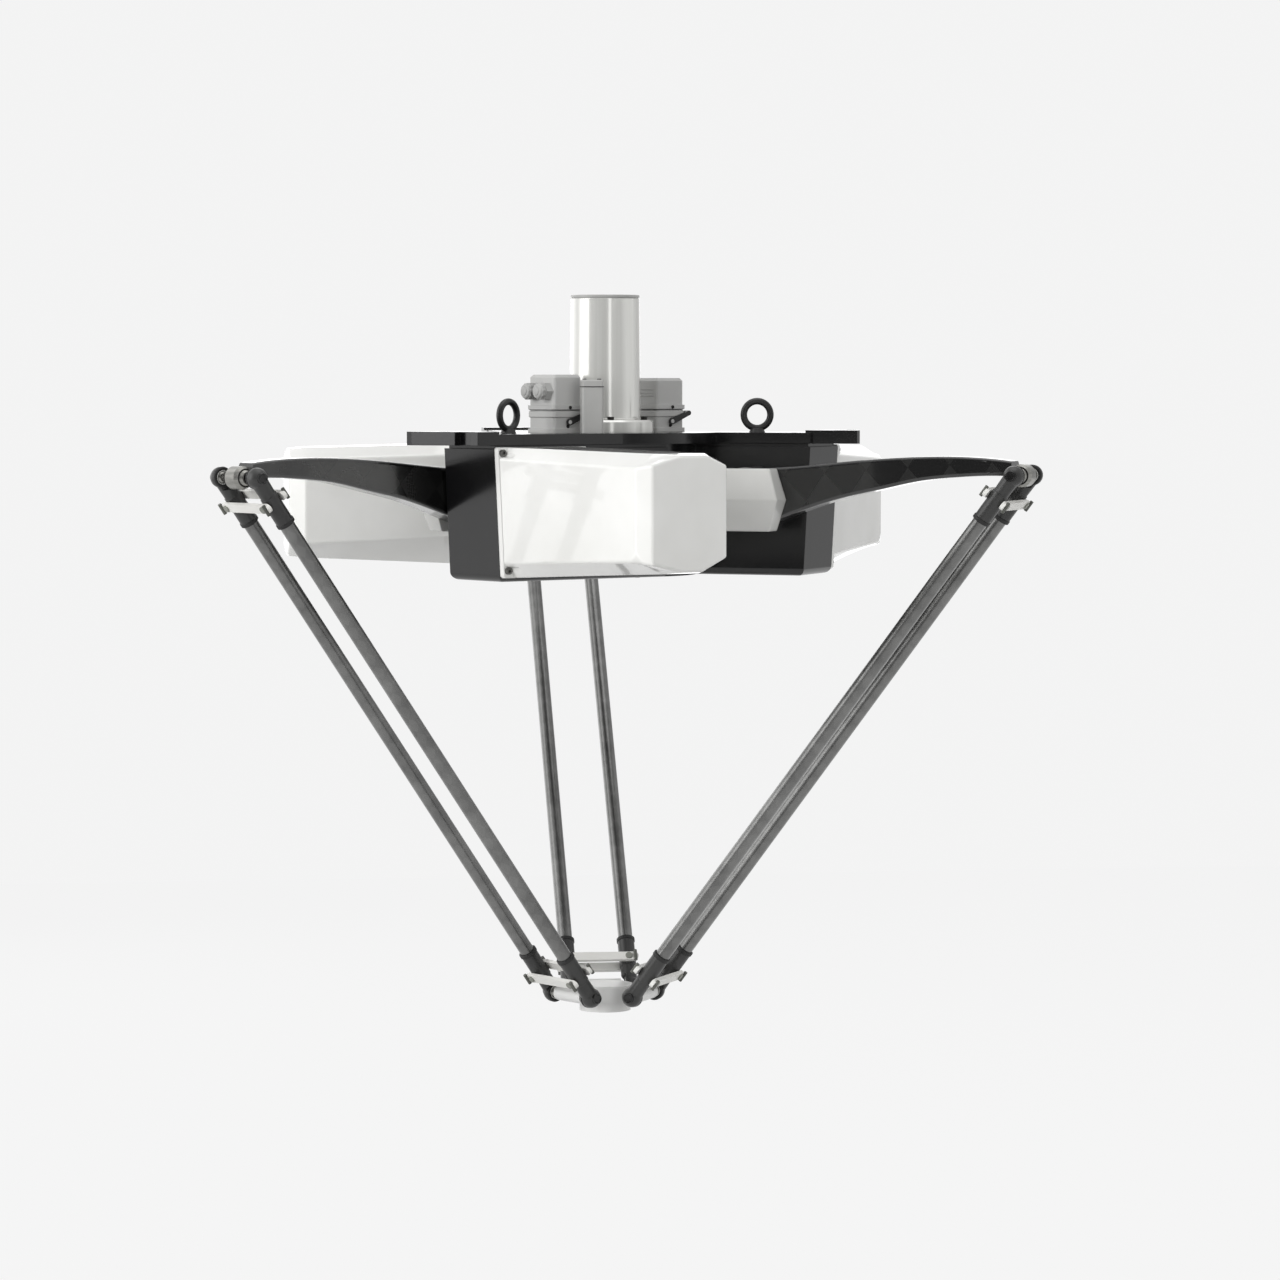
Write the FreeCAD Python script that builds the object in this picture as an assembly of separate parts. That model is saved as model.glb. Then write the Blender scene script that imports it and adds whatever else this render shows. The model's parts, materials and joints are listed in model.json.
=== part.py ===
import FreeCAD, Part
import math
import os

from FreeCAD import Vector

# Delta robot for ceiling mounting: three driven arms at 120 degrees, three pairs of
# rods with ball joints and one small platform. Millimetres, +Z up. The origin is the
# centre of the mounting pads' top plane. Each of the three units is built with its arm
# along +X (direction u) and its motor towards +Y (direction s), then turned into place.

os.makedirs("parts", exist_ok=True)

X_AXIS = Vector(1, 0, 0)
Y_AXIS = Vector(0, 1, 0)
Z_AXIS = Vector(0, 0, 1)

# Linkage
ARM_AZIMUTHS = (90, 210, 330)
ROD_LENGTH = 800.0
HUB_RADIUS = 190.0
HUB_Z = -83.0
TIP_RADIUS = 533.0
TIP_Z = -52.0
PLATFORM_JOINT_RADIUS = 51.0
ROD_SPACING = 76.0

# Mounting plate and its three pads
PLATE_THICKNESS = 13.0
PAD_RISE = 3.0
PAD_INNER = 250.0
PAD_OUTER = 316.0
PAD_EDGE = 28.0
PAD_WIDTH = 94.0
PAD_CUT_LENGTH = 84.0
PAD_CUT_DEPTH = 35.0
PAD_BOLT_RADIUS = 290.0
PAD_BOLT_OFFSET = 62.0
PAD_HOLE_RADIUS = 8.5
PAD_SLOT_WIDTH = 21.0
PAD_SLOT_DEPTH = 12.0
PLATE_SCREW_INSET = 20.0
PLATE_SCREW_SEAT = 5.2
PLATE_SCREW_DEPTH = 8.0

# Base housing: a centre drum and one lobe for each gearbox
HOUSING_DEPTH = 160.0
DRUM_RADIUS = 112.0
LOBE_NEAR = 23.0
LOBE_LENGTH = 100.0
LOBE_BEYOND_HUB = 68.0
LOBE_REACH = HUB_RADIUS + LOBE_BEYOND_HUB
LOBE_DRAFT = 8.5
LOBE_FILLET = 9.0
NECK_HEIGHT = 4.0
NECK_INSET = 4.0
BOTTOM_COVER_RADIUS = 84.0
BOTTOM_COVER_THICKNESS = 4.0

# Gearbox and its output
GEARBOX_RADIUS = 42.0
GEARBOX_FIT = 0.3
GEARBOX_FLANGE_RADIUS = 52.0
GEARBOX_FLANGE_THICKNESS = 8.0
RECESS_DEPTH = 9.0
OUTPUT_FLANGE_RADIUS = 33.0
OUTPUT_FLANGE_THICKNESS = 8.0
OUTPUT_RECESS_GAP = 2.0
OUTPUT_SHAFT_RADIUS = 16.0
OUTPUT_SHAFT_LENGTH = 34.0
RUNNING_FIT = 0.05

# Servo motor
MOTOR_SIDE = 84.0
MOTOR_CORNER = 12.0
MOTOR_LENGTH = 128.0
ENCODER_RADIUS = 36.0
ENCODER_LENGTH = 42.0

# Motor cover
COVER_LENGTH = 256.0
COVER_INNER = 62.0
COVER_TAPER = 25.0
COVER_TOP_GAP = 2.0
COVER_TOP_FALL = 5.0
COVER_BOTTOM_RISE = 5.0
COVER_END_RISE = 11.0
# Corner bevels as (across, down): outer top, inner top, inner bottom, outer bottom
COVER_FLANGE_BEVELS = ((2.0, 2.0), (2.0, 2.0), (26.0, 41.0), (2.0, 2.0))
COVER_ROOT_BEVELS = ((14.0, 13.0), (14.0, 13.0), (26.0, 41.0), (14.0, 17.0))
COVER_SHOULDER_BEVELS = ((26.0, 16.0), (30.0, 13.0), (38.0, 18.0), (40.0, 14.0))
COVER_FACE_BEVELS = ((44.0, 9.0), (30.0, 12.0), (36.0, 16.0), (46.0, 8.0))
COVER_NOSE = 20.0
COVER_FACE_OUTER_INSET = 9.0
COVER_FACE_INNER_INSET = 14.0
COVER_FACE_LEVEL_INSET = 2.0
COVER_WALL = 3.0
COVER_CORNER_RATIO = 2.2
COVER_FILLET = 4.0
COVER_FLANGE = 8.0
COVER_SCREW_RADIUS = 2.5
COVER_SCREW_DEPTH = 8.0
COVER_SCREW_INSET = 5.0
COVER_SCREW_TOP = 6.6
COVER_SCREW_LOW = 8.5
COVER_NOTCH_RADIUS = 5.2
COVER_NOTCH_LENGTH = 20.0

# Arm
ARM_ROOT_WIDTH = 40.0
ARM_TIP_WIDTH = 30.0
ARM_HUB_RADIUS = 39.0
ARM_END_FRACTION = 0.975
ARM_FILLET = 4.0
# Heights over the hub-to-tip line, each as (share of the arm's length, height)
ARM_TOP = [(0.0, 39.0), (0.16, 34.5), (0.34, 34.5), (0.5, 34.5), (0.68, 32.0), (0.86, 25.5)]
ARM_TOP_END = 18.0
ARM_UNDER = [(0.88, 3.2), (0.76, 4.6), (0.63, 3.6), (0.5, -2.0), (0.38, -7.0), (0.2, -20.0), (0.0, -39.0)]
ARM_UNDER_END = 0.0
HUB_SCREW_CIRCLE = 25.0
HUB_SCREW_COUNT = 6
HUB_SCREW_RADIUS = 3.0
HUB_HOLE_CLEARANCE = 0.3
SCREW_HEAD_RATIO = 1.65

# Hub cap
CAP_HALF_HEIGHT = 37.5
CAP_HALF_FLAT = 41.0
CAP_HALF_LENGTH = 53.0
CAP_EDGE_DEPTH = 25.0
CAP_CREST = 8.0
CAP_POCKET_RADIUS = 34.0
CAP_POCKET_DEPTH = 9.0

# Ball joints
BALL_RADIUS = 8.5
BALL_NECK_RADIUS = 5.0
SOCKET_RADIUS = 12.3
SOCKET_COVER = 4.0
SLEEVE_RADIUS = 10.4
SLEEVE_LENGTH = 66.0
SLEEVE_ROD_START = 42.0
ELBOW_RADIUS = 13.5
ELBOW_HALF = 20.0
ELBOW_FLAT_HALF = 9.0
ELBOW_END_RADIUS = 6.5
OPEN_PIVOT_GAP = 0.35

# Rods
ROD_RADIUS = 7.5
ROD_WALL = 1.5

# Tie bars that draw the two rods of a pair together
TIE_DISTANCE = 34.0
TIE_THICKNESS = 5.0
TIE_HEIGHT = 11.0
TIE_OVERHANG = 12.0
TIE_GAP = 0.2
TIE_PEG_RADIUS = 3.0
TIE_PEG_PROUD = 1.5
TIE_FIT = 0.05
TIE_PIN_RADIUS = 2.2
TIE_PIN_LENGTH = 14.0
TIE_PIN_INSET = 4.0
TIE_PIN_SEAT = 1.2

# Platform
PLATFORM_RADIUS = 36.0
PLATFORM_HEIGHT = 20.0
PLATFORM_BAR_RADIUS = 9.0
PLATFORM_NECK = 26.0
PLATFORM_FILLET = 3.0
WEB_WIDTH = 26.0
WEB_HEIGHT = 12.0
TOOL_FLANGE_RADIUS = 31.5
TOOL_FLANGE_THICKNESS = 12.0
TOOL_PILOT_RADIUS = 15.75
TOOL_PCD_RADIUS = 25.0
TOOL_HOLE_RADIUS = 2.5
TOOL_BOLT_COUNT = 4
TOOL_SCREW_RADIUS = 2.5
TOOL_SCREW_CIRCLE = 22.5

# Centre column
COLUMN_RADIUS = 42.0
COLUMN_FOOT_RADIUS = 43.5
COLUMN_WALL = 3.0
COLUMN_TOP = 164.0
COLUMN_FLANGE_RADIUS = 59.0
COLUMN_FLANGE_HEIGHT = 15.0
COLUMN_CAP_THICKNESS = 3.0
COLUMN_CAP_GROOVE = 1.5
COLUMN_SCREW_COUNT = 6
COLUMN_SCREW_RADIUS = 2.5
COLUMN_SCREW_DEPTH = 8.0

# Heavy connectors
CONNECTOR_LENGTH = 50.0
CONNECTOR_WIDTH = 42.0
CONNECTOR_TURN = 210.0
CONNECTOR_BASE_HEIGHT = 28.0
CONNECTOR_FOOT = 5.0
CONNECTOR_RIM = 2.0
CONNECTOR_CORNER = 4.0
CONNECTOR_LIP = 2.0
CONNECTOR_LIP_HEIGHT = 5.0
CONNECTOR_CHAMFER = 7.0
LEFT_CONNECTOR = Vector(-68.8, -61.4, 0)
LEFT_HEIGHT = 70.0
RIGHT_CONNECTOR = Vector(73.0, 55.0, 0)
RIGHT_HEIGHT = 66.0
GLAND_HEX = 11.5
GLAND_LENGTH = 9.0
GLAND_DOME_RADIUS = 9.0
GLAND_DOME_LENGTH = 8.0
GLAND_DROP = 13.0
JUNCTION_BOX = Vector(-29.0, -96.0, 0)
JUNCTION_WIDTH = 26.0
JUNCTION_DEPTH = 22.0
JUNCTION_HEIGHT = 64.0

# Locking levers of the connectors
LEVER_PIVOT_RADIUS = 2.5
LEVER_PIVOT_HEIGHT = 13.0
LEVER_PIN_LENGTH = 5.0
LEVER_ARM_THICKNESS = 2.5
LEVER_ARM_WIDTH = 8.0
LEVER_SIDE_GAP = 0.4
LEVER_REACH = 26.0
LEVER_RISE = 10.0
LEVER_BAR_RADIUS = 3.0

# Lifting eyes
EYE_RADIUS = 16.4
EYE_TUBE = 4.1
EYE_SHANK_RADIUS = 5.0
EYE_COLLAR_RADIUS = 10.0
EYE_COLLAR_HEIGHT = 5.0
EYE_U = 181.0
EYE_S = 46.0
EYE_TURNS = (0, 45, 0)

# Derived places
SOCKET_OFFSET = ROD_SPACING / 2
ROD_DROP = math.sqrt(ROD_LENGTH ** 2 - (TIP_RADIUS - PLATFORM_JOINT_RADIUS) ** 2)
PLATFORM_Z = TIP_Z - ROD_DROP
PLATE_TOP = -PAD_RISE
PLATE_BOTTOM = PLATE_TOP - PLATE_THICKNESS
HOUSING_BOTTOM = PLATE_BOTTOM - HOUSING_DEPTH
LOBE_FAR = LOBE_NEAR + LOBE_LENGTH
COVER_TOP = PLATE_BOTTOM - COVER_TOP_GAP
COVER_LOW = HOUSING_BOTTOM + COVER_BOTTOM_RISE
ROD_DIRECTION = Vector(PLATFORM_JOINT_RADIUS - TIP_RADIUS, 0, -ROD_DROP).normalize()
ROD_SIDE = Vector(-ROD_DIRECTION.z, 0, ROD_DIRECTION.x)
HUB = Vector(HUB_RADIUS, 0, HUB_Z)
TIP = Vector(TIP_RADIUS, 0, TIP_Z)
FOOT = Vector(PLATFORM_JOINT_RADIUS, 0, PLATFORM_Z)

kept = {}


def keep(name, shape):
    """Write one named piece, or a group of like pieces, to its file."""
    if isinstance(shape, (list, tuple)):
        shape = Part.makeCompound(list(shape))
    shape.exportStep("parts/" + name + ".step")
    kept[name] = shape


def turned(shape, angle, centre=Vector(0, 0, 0), axis=Z_AXIS):
    copy = shape.copy()
    copy.rotate(centre, axis, angle)
    return copy


def moved(shape, offset):
    copy = shape.copy()
    copy.translate(offset)
    return copy


def cylinder(radius, length, base, axis):
    return Part.makeCylinder(radius, length, base, axis)


def face_of(points):
    return Part.Face(Part.makePolygon(points + [points[0]]))


def prism(points, direction):
    return face_of(points).extrude(direction)


def side_points(pairs, s):
    """Points of a (u, z) outline in the plane at distance s."""
    return [Vector(u, s, z) for u, z in pairs]


def plan_points(pairs, z):
    """Points of an (x, y) outline at height z."""
    return [Vector(x, y, z) for x, y in pairs]


def rounded_box(low, high, radius):
    """A box with its upright edges rounded."""
    box = Part.makeBox(high.x - low.x, high.y - low.y, high.z - low.z, low)
    upright = [e for e in box.Edges if abs(e.tangentAt(e.FirstParameter).z) > 0.9]
    return box.makeFillet(radius, upright)


def fused(shapes):
    whole = shapes[0]
    if len(shapes) > 1:
        whole = whole.fuse(shapes[1:])
    return whole.removeSplitter()


def three(build, *args):
    """The three copies of a piece built with its arm along +X."""
    piece = build(*args)
    return [turned(piece, azimuth) for azimuth in ARM_AZIMUTHS]


def circle_points(radius, count, start=0.0):
    angles = [math.radians(start) + 2 * math.pi * i / count for i in range(count)]
    return [(radius * math.cos(a), radius * math.sin(a)) for a in angles]


# Mounting plate


def pad_outline():
    return [
        (PAD_INNER - PAD_CUT_DEPTH, PAD_EDGE),
        (PAD_OUTER, PAD_EDGE),
        (PAD_OUTER, PAD_EDGE + PAD_WIDTH - PAD_CUT_LENGTH),
        (PAD_OUTER - PAD_CUT_DEPTH, PAD_EDGE + PAD_WIDTH),
        (PAD_INNER - PAD_CUT_DEPTH, PAD_EDGE + PAD_WIDTH),
    ]


def pad_end_direction():
    """Unit vector along the pad's slanted end, and the one into the pad."""
    along = Vector(-PAD_CUT_DEPTH, PAD_CUT_LENGTH, 0).normalize()
    return along, Vector(-along.y, along.x, 0)


def plate_lobe():
    """One lobe of the plate with its raised pad, arm along +X."""
    lobe_edge = LOBE_FAR - 2
    near_edge = PAD_EDGE - 4
    outline = [(0, near_edge), (LOBE_REACH, near_edge), (LOBE_REACH, lobe_edge), (0, lobe_edge)]
    web = prism(plan_points(outline, PLATE_BOTTOM), Vector(0, 0, PLATE_THICKNESS))
    pad = prism(plan_points(pad_outline(), PLATE_BOTTOM), Vector(0, 0, PLATE_THICKNESS))
    raised = [(max(u, PAD_INNER), s) for u, s in pad_outline()]
    raised_pad = prism(plan_points(raised, PLATE_TOP), Vector(0, 0, PAD_RISE))
    return [web, pad, raised_pad]


def plate_holes():
    """The bolt hole and the open slot of one pad, arm along +X."""
    hole_u = math.sqrt(PAD_BOLT_RADIUS ** 2 - PAD_BOLT_OFFSET ** 2)
    hole_start = Vector(hole_u, PAD_BOLT_OFFSET, PLATE_BOTTOM - 5)
    hole = cylinder(PAD_HOLE_RADIUS, 3 * PLATE_THICKNESS, hole_start, Z_AXIS)
    along, inward = pad_end_direction()
    corner = Vector(PAD_OUTER, PAD_EDGE + PAD_WIDTH - PAD_CUT_LENGTH, PLATE_BOTTOM - 5)
    start = corner + along * (0.77 * math.hypot(PAD_CUT_DEPTH, PAD_CUT_LENGTH) - PAD_SLOT_WIDTH / 2)
    near = start - inward * 5
    points = [near, near + along * PAD_SLOT_WIDTH]
    points += [points[1] + inward * (PAD_SLOT_DEPTH + 5), points[0] + inward * (PAD_SLOT_DEPTH + 5)]
    slot = prism(points, Vector(0, 0, 3 * PLATE_THICKNESS))
    return [hole, slot]


def plate_screw_places():
    """Screws that hold the plate to the housing: two over each lobe, in plan."""
    far = LOBE_FAR - PLATE_SCREW_INSET
    outer = PAD_INNER - PLATE_SCREW_INSET
    return [(outer, LOBE_NEAR + PLATE_SCREW_INSET), (outer, far), (DRUM_RADIUS, far)]


def plate_screw_holes():
    """Seats and threads of one lobe's plate screws, arm along +X."""
    length = PLATE_THICKNESS + PLATE_SCREW_DEPTH
    seat_radius = SCREW_HEAD_RATIO * HUB_SCREW_RADIUS + 0.3
    holes = []
    for u, s in plate_screw_places():
        top = Vector(u, s, PLATE_TOP)
        holes.append(cylinder(HUB_SCREW_RADIUS, length, top, -Z_AXIS))
        holes.append(cylinder(seat_radius, PLATE_SCREW_SEAT, top, -Z_AXIS))
    return holes


def make_top_plate():
    disc = cylinder(DRUM_RADIUS + 26, PLATE_THICKNESS, Vector(0, 0, PLATE_BOTTOM), Z_AXIS)
    shapes = [disc]
    for azimuth in ARM_AZIMUTHS:
        shapes += [turned(s, azimuth) for s in plate_lobe()]
    plate = fused(shapes)
    eye_hole = cylinder(EYE_SHANK_RADIUS, PLATE_THICKNESS, Vector(EYE_U, EYE_S, PLATE_TOP), -Z_AXIS)
    cuts = column_screw_holes()
    for azimuth in ARM_AZIMUTHS:
        cuts += [turned(s, azimuth) for s in plate_holes() + plate_screw_holes() + [eye_hole]]
    return plate.cut(cuts)


def cap_screw(radius, length, place, axis):
    """A socket head screw whose head stands on the given place, pointing back along the axis."""
    head_radius = radius * SCREW_HEAD_RATIO
    head_height = 1.6 * radius
    head = cylinder(head_radius, head_height, place - axis * head_height, axis)
    socket = Part.makePolygon(
        [
            place - axis * head_height + hex_corner(axis, 0.85 * radius, i)
            for i in list(range(6)) + [0]
        ]
    )
    pocket = Part.Face(socket).extrude(axis * radius * 0.8)
    shank = cylinder(radius, length, place, axis)
    return head.cut(pocket).fuse(shank).removeSplitter()


def hex_corner(axis, radius, index):
    """A corner of a hexagon about the axis."""
    side = axis.cross(Z_AXIS)
    if side.Length < 0.1:
        side = axis.cross(X_AXIS)
    side.normalize()
    other = axis.cross(side)
    angle = math.pi / 3 * index
    return side * (radius * math.cos(angle)) + other * (radius * math.sin(angle))


def make_plate_screws():
    length = PLATE_THICKNESS - PLATE_SCREW_SEAT + PLATE_SCREW_DEPTH
    screws = []
    for azimuth in ARM_AZIMUTHS:
        for u, s in plate_screw_places():
            place = Vector(u, s, PLATE_TOP - PLATE_SCREW_SEAT)
            screws.append(turned(cap_screw(HUB_SCREW_RADIUS, length, place, -Z_AXIS), azimuth))
    return screws


# Base housing


def housing_lobe():
    """One gearbox lobe with a drafted radial face and rounded lower edges, arm along +X."""
    low = PLATE_BOTTOM - NECK_HEIGHT
    outline = [
        (0, low),
        (LOBE_REACH, low),
        (LOBE_REACH - LOBE_DRAFT, HOUSING_BOTTOM),
        (0, HOUSING_BOTTOM),
    ]
    lobe = prism(side_points(outline, LOBE_NEAR), Vector(0, LOBE_LENGTH, 0))
    outer = [e for e in lobe.Edges if lobe_edge_is_round(e)]
    lobe = lobe.makeFillet(LOBE_FILLET, outer)
    neck_start = Vector(0, LOBE_NEAR + NECK_INSET, low)
    neck = Part.makeBox(LOBE_REACH - NECK_INSET, LOBE_LENGTH - 2 * NECK_INSET, NECK_HEIGHT, neck_start)
    return [lobe, neck]


def lobe_edge_is_round(edge):
    """The lower outer edge of the radial face and the two lower side edges."""
    middle = edge.CenterOfMass
    at_bottom = abs(middle.z - HOUSING_BOTTOM) < 0.01
    return at_bottom and middle.x > 1


def gearbox_bores():
    """The stepped bore through a lobe, arm along +X."""
    recess_radius = OUTPUT_FLANGE_RADIUS + OUTPUT_RECESS_GAP
    recess = cylinder(recess_radius, RECESS_DEPTH + 2, HUB + Y_AXIS * (LOBE_NEAR - 1), Y_AXIS)
    start = HUB + Y_AXIS * (LOBE_NEAR + RECESS_DEPTH)
    bore = cylinder(GEARBOX_RADIUS + GEARBOX_FIT, LOBE_LENGTH, start, Y_AXIS)
    return [recess, bore]


def make_base_housing():
    drum = cylinder(DRUM_RADIUS, HOUSING_DEPTH, Vector(0, 0, HOUSING_BOTTOM), Z_AXIS)
    shapes = [drum]
    for azimuth in ARM_AZIMUTHS:
        shapes += [turned(s, azimuth) for s in housing_lobe()]
    housing = fused(shapes)
    cuts = [
        cylinder(BOTTOM_COVER_RADIUS, HOUSING_DEPTH - 14, Vector(0, 0, HOUSING_BOTTOM), Z_AXIS)
    ]
    for azimuth in ARM_AZIMUTHS:
        cuts += [turned(s, azimuth) for s in gearbox_bores() + cover_screw_holes() + plate_screw_holes()]
    housing = housing.cut(cuts)
    ledge_height = 6.0
    ledge_z = HOUSING_BOTTOM + BOTTOM_COVER_THICKNESS
    ledge = cylinder(BOTTOM_COVER_RADIUS + 1, ledge_height, Vector(0, 0, ledge_z), Z_AXIS)
    ledge = ledge.cut(cylinder(BOTTOM_COVER_RADIUS - 8, ledge_height, Vector(0, 0, ledge_z), Z_AXIS))
    return housing.fuse(ledge).removeSplitter()


def make_bottom_cover():
    radius = BOTTOM_COVER_RADIUS - 0.2
    disc = cylinder(radius, BOTTOM_COVER_THICKNESS, Vector(0, 0, HOUSING_BOTTOM), Z_AXIS)
    edge = [e for e in disc.Edges if abs(e.CenterOfMass.z - HOUSING_BOTTOM) < 0.01 and len(e.Vertexes) == 1]
    return disc.makeChamfer(1.0, edge)


# Drive


def make_gearbox():
    start = LOBE_NEAR + RECESS_DEPTH
    near = HUB + Y_AXIS * start
    body = cylinder(GEARBOX_RADIUS, LOBE_FAR - start, near, Y_AXIS)
    flange = cylinder(GEARBOX_FLANGE_RADIUS, GEARBOX_FLANGE_THICKNESS, HUB + Y_AXIS * LOBE_FAR, Y_AXIS)
    bore = cylinder(OUTPUT_SHAFT_RADIUS + RUNNING_FIT, OUTPUT_SHAFT_LENGTH, near, Y_AXIS)
    return body.fuse(flange).removeSplitter().cut(bore)


def make_motor():
    start = LOBE_FAR + GEARBOX_FLANGE_THICKNESS
    half = MOTOR_SIDE / 2
    box = Part.makeBox(MOTOR_SIDE, MOTOR_LENGTH, MOTOR_SIDE, Vector(HUB_RADIUS - half, start, HUB_Z - half))
    along = [e for e in box.Edges if abs(e.tangentAt(e.FirstParameter).y) > 0.9]
    box = box.makeChamfer(MOTOR_CORNER, along)
    encoder = cylinder(ENCODER_RADIUS, ENCODER_LENGTH, HUB + Y_AXIS * (start + MOTOR_LENGTH), Y_AXIS)
    return box.fuse(encoder).removeSplitter()


def cover_outline(outer, inner, top, bottom, bevels, lean=0.0):
    """Eight points (u, z): the outer wall, the top, the inner wall and the bottom.

    Each bevel is (across, down) and belongs to the outer top, the inner top, the inner
    bottom and the outer bottom corner in turn. The outer wall leans in by the lean on
    its way down.
    """
    outer_top, inner_top, inner_low, outer_low = bevels
    slope = lean / (top - bottom)
    return [
        (outer - lean + slope * outer_low[1], bottom + outer_low[1]),
        (outer - slope * outer_top[1], top - outer_top[1]),
        (outer - outer_top[0], top),
        (inner + inner_top[0], top),
        (inner, top - inner_top[1]),
        (inner, bottom + inner_low[1]),
        (inner + inner_low[0], bottom),
        (outer - lean - outer_low[0], bottom),
    ]


def cover_root(bevels):
    inner = HUB_RADIUS - COVER_INNER
    return cover_outline(LOBE_REACH, inner, COVER_TOP, COVER_LOW, bevels, LOBE_DRAFT)


def cover_shoulder():
    outer = LOBE_REACH - COVER_TAPER
    inner = HUB_RADIUS - COVER_INNER - COVER_TAPER
    top = COVER_TOP - COVER_TOP_FALL
    return cover_outline(outer, inner, top, COVER_LOW + COVER_END_RISE, COVER_SHOULDER_BEVELS)


def cover_face():
    """The flat end, inside the shoulder's outline."""
    outer = LOBE_REACH - COVER_TAPER - COVER_FACE_OUTER_INSET
    inner = HUB_RADIUS - COVER_INNER - COVER_TAPER + COVER_FACE_INNER_INSET
    top = COVER_TOP - COVER_TOP_FALL - COVER_FACE_LEVEL_INSET
    low = COVER_LOW + COVER_END_RISE + COVER_FACE_LEVEL_INSET
    return cover_outline(outer, inner, top, low, COVER_FACE_BEVELS)


def cover_section(outline, s, inset=0.0):
    """An outline at distance s, drawn in by an inset towards its middle."""
    mid_u = sum(p[0] for p in outline) / len(outline)
    mid_z = sum(p[1] for p in outline) / len(outline)
    points = []
    for u, z in outline:
        du = u - mid_u
        dz = z - mid_z
        k = 1 - inset / math.hypot(du, dz)
        points.append(Vector(mid_u + du * k, s, mid_z + dz * k))
    return Part.makePolygon(points + [points[0]])


def cover_screw_places():
    """Corner screws in the cover's root flange, as (u, z)."""
    low_lean = LOBE_DRAFT * (1 - COVER_SCREW_LOW / (COVER_TOP - COVER_LOW))
    return [
        (LOBE_REACH - COVER_SCREW_INSET, COVER_TOP - COVER_SCREW_TOP),
        (LOBE_REACH - low_lean - COVER_SCREW_INSET, COVER_LOW + COVER_SCREW_LOW),
        (HUB_RADIUS - COVER_INNER + COVER_SCREW_INSET, COVER_TOP - COVER_SCREW_TOP),
    ]


def cover_screw_holes():
    """Holes through the root flange and into the lobe, arm along +X."""
    length = COVER_FLANGE + COVER_SCREW_DEPTH
    starts = [Vector(u, LOBE_FAR + COVER_FLANGE, z) for u, z in cover_screw_places()]
    return [cylinder(COVER_SCREW_RADIUS, length, start, -Y_AXIS) for start in starts]


def make_motor_cover():
    near = LOBE_FAR
    far = LOBE_FAR + COVER_LENGTH
    shoulder = far - COVER_NOSE
    root = cover_root(COVER_ROOT_BEVELS)
    at_shoulder = cover_section(cover_shoulder(), shoulder)
    body = Part.makeLoft([cover_section(root, near), at_shoulder], True, True)
    nose = Part.makeLoft([at_shoulder, cover_section(cover_face(), far)], True, True)
    outside = body.fuse(nose).removeSplitter()
    rounded = [e for e in outside.Edges if e.CenterOfMass.y > near + 1]
    outside = outside.makeFillet(COVER_FILLET, rounded)
    flange = Part.Face(cover_section(cover_root(COVER_FLANGE_BEVELS), near)).extrude(Y_AXIS * COVER_FLANGE)
    corner_inset = COVER_CORNER_RATIO * COVER_WALL
    inner_root = cover_section(root, near, corner_inset)
    inner_end = cover_section(cover_shoulder(), shoulder, corner_inset)
    hollow = Part.makeLoft([inner_root, inner_end], True, True)
    notches = [
        cylinder(COVER_NOTCH_RADIUS, COVER_NOTCH_LENGTH, Vector(u, near + COVER_FLANGE, z), Y_AXIS)
        for u, z in cover_screw_places()
    ]
    return outside.cut(notches).fuse(flange).cut([hollow] + cover_screw_holes())


def make_cover_screws():
    length = COVER_FLANGE + COVER_SCREW_DEPTH - 1
    screws = []
    for azimuth in ARM_AZIMUTHS:
        for u, z in cover_screw_places():
            place = Vector(u, LOBE_FAR + COVER_FLANGE, z)
            screws.append(turned(cap_screw(COVER_SCREW_RADIUS, length, place, -Y_AXIS), azimuth))
    return screws


# Arm


def arm_point(fraction, height):
    """A point at a share of the arm's length, and a height over the hub-to-tip line."""
    along = TIP - HUB
    up = Vector(-along.z, 0, along.x).normalize()
    return HUB + along * fraction + up * height


def curve_through(points):
    curve = Part.BSplineCurve()
    curve.interpolate(points)
    return curve.toShape()


def arm_side():
    """The arm's side outline: an arched top, a waved lower edge and a blunt end at the elbow."""
    top = [arm_point(*p) for p in ARM_TOP] + [arm_point(ARM_END_FRACTION, ARM_TOP_END)]
    under = [arm_point(ARM_END_FRACTION, ARM_UNDER_END)] + [arm_point(*p) for p in ARM_UNDER]
    edges = [
        curve_through(top),
        Part.makeLine(top[-1], under[0]),
        curve_through(under),
        Part.makeLine(under[-1], top[0]),
    ]
    return Part.Face(Part.Wire(edges))


def arm_plan():
    """The arm seen from above: full width at the hub, narrower towards the elbow."""
    half = ARM_ROOT_WIDTH / 2
    tip_half = ARM_TIP_WIDTH / 2
    start = HUB_RADIUS + ARM_HUB_RADIUS
    narrow = TIP_RADIUS - 3 * ELBOW_RADIUS
    beyond = TIP_RADIUS + 2 * ELBOW_RADIUS
    near = HUB_RADIUS - 2 * ARM_HUB_RADIUS
    outline = [(near, -half), (start, -half), (narrow, -tip_half), (beyond, -tip_half)]
    outline += [(u, -s) for u, s in reversed(outline)]
    low = HUB_Z - 2 * ARM_HUB_RADIUS
    return prism(plan_points(outline, low), Vector(0, 0, 5 * ARM_HUB_RADIUS))


def arm_edge_is_round(edge):
    """The long outer edges of the arm's beam."""
    middle = edge.CenterOfMass
    on_side = abs(middle.y) > ARM_TIP_WIDTH / 2 - 1
    return on_side and edge.BoundBox.XLength > ARM_HUB_RADIUS


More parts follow.
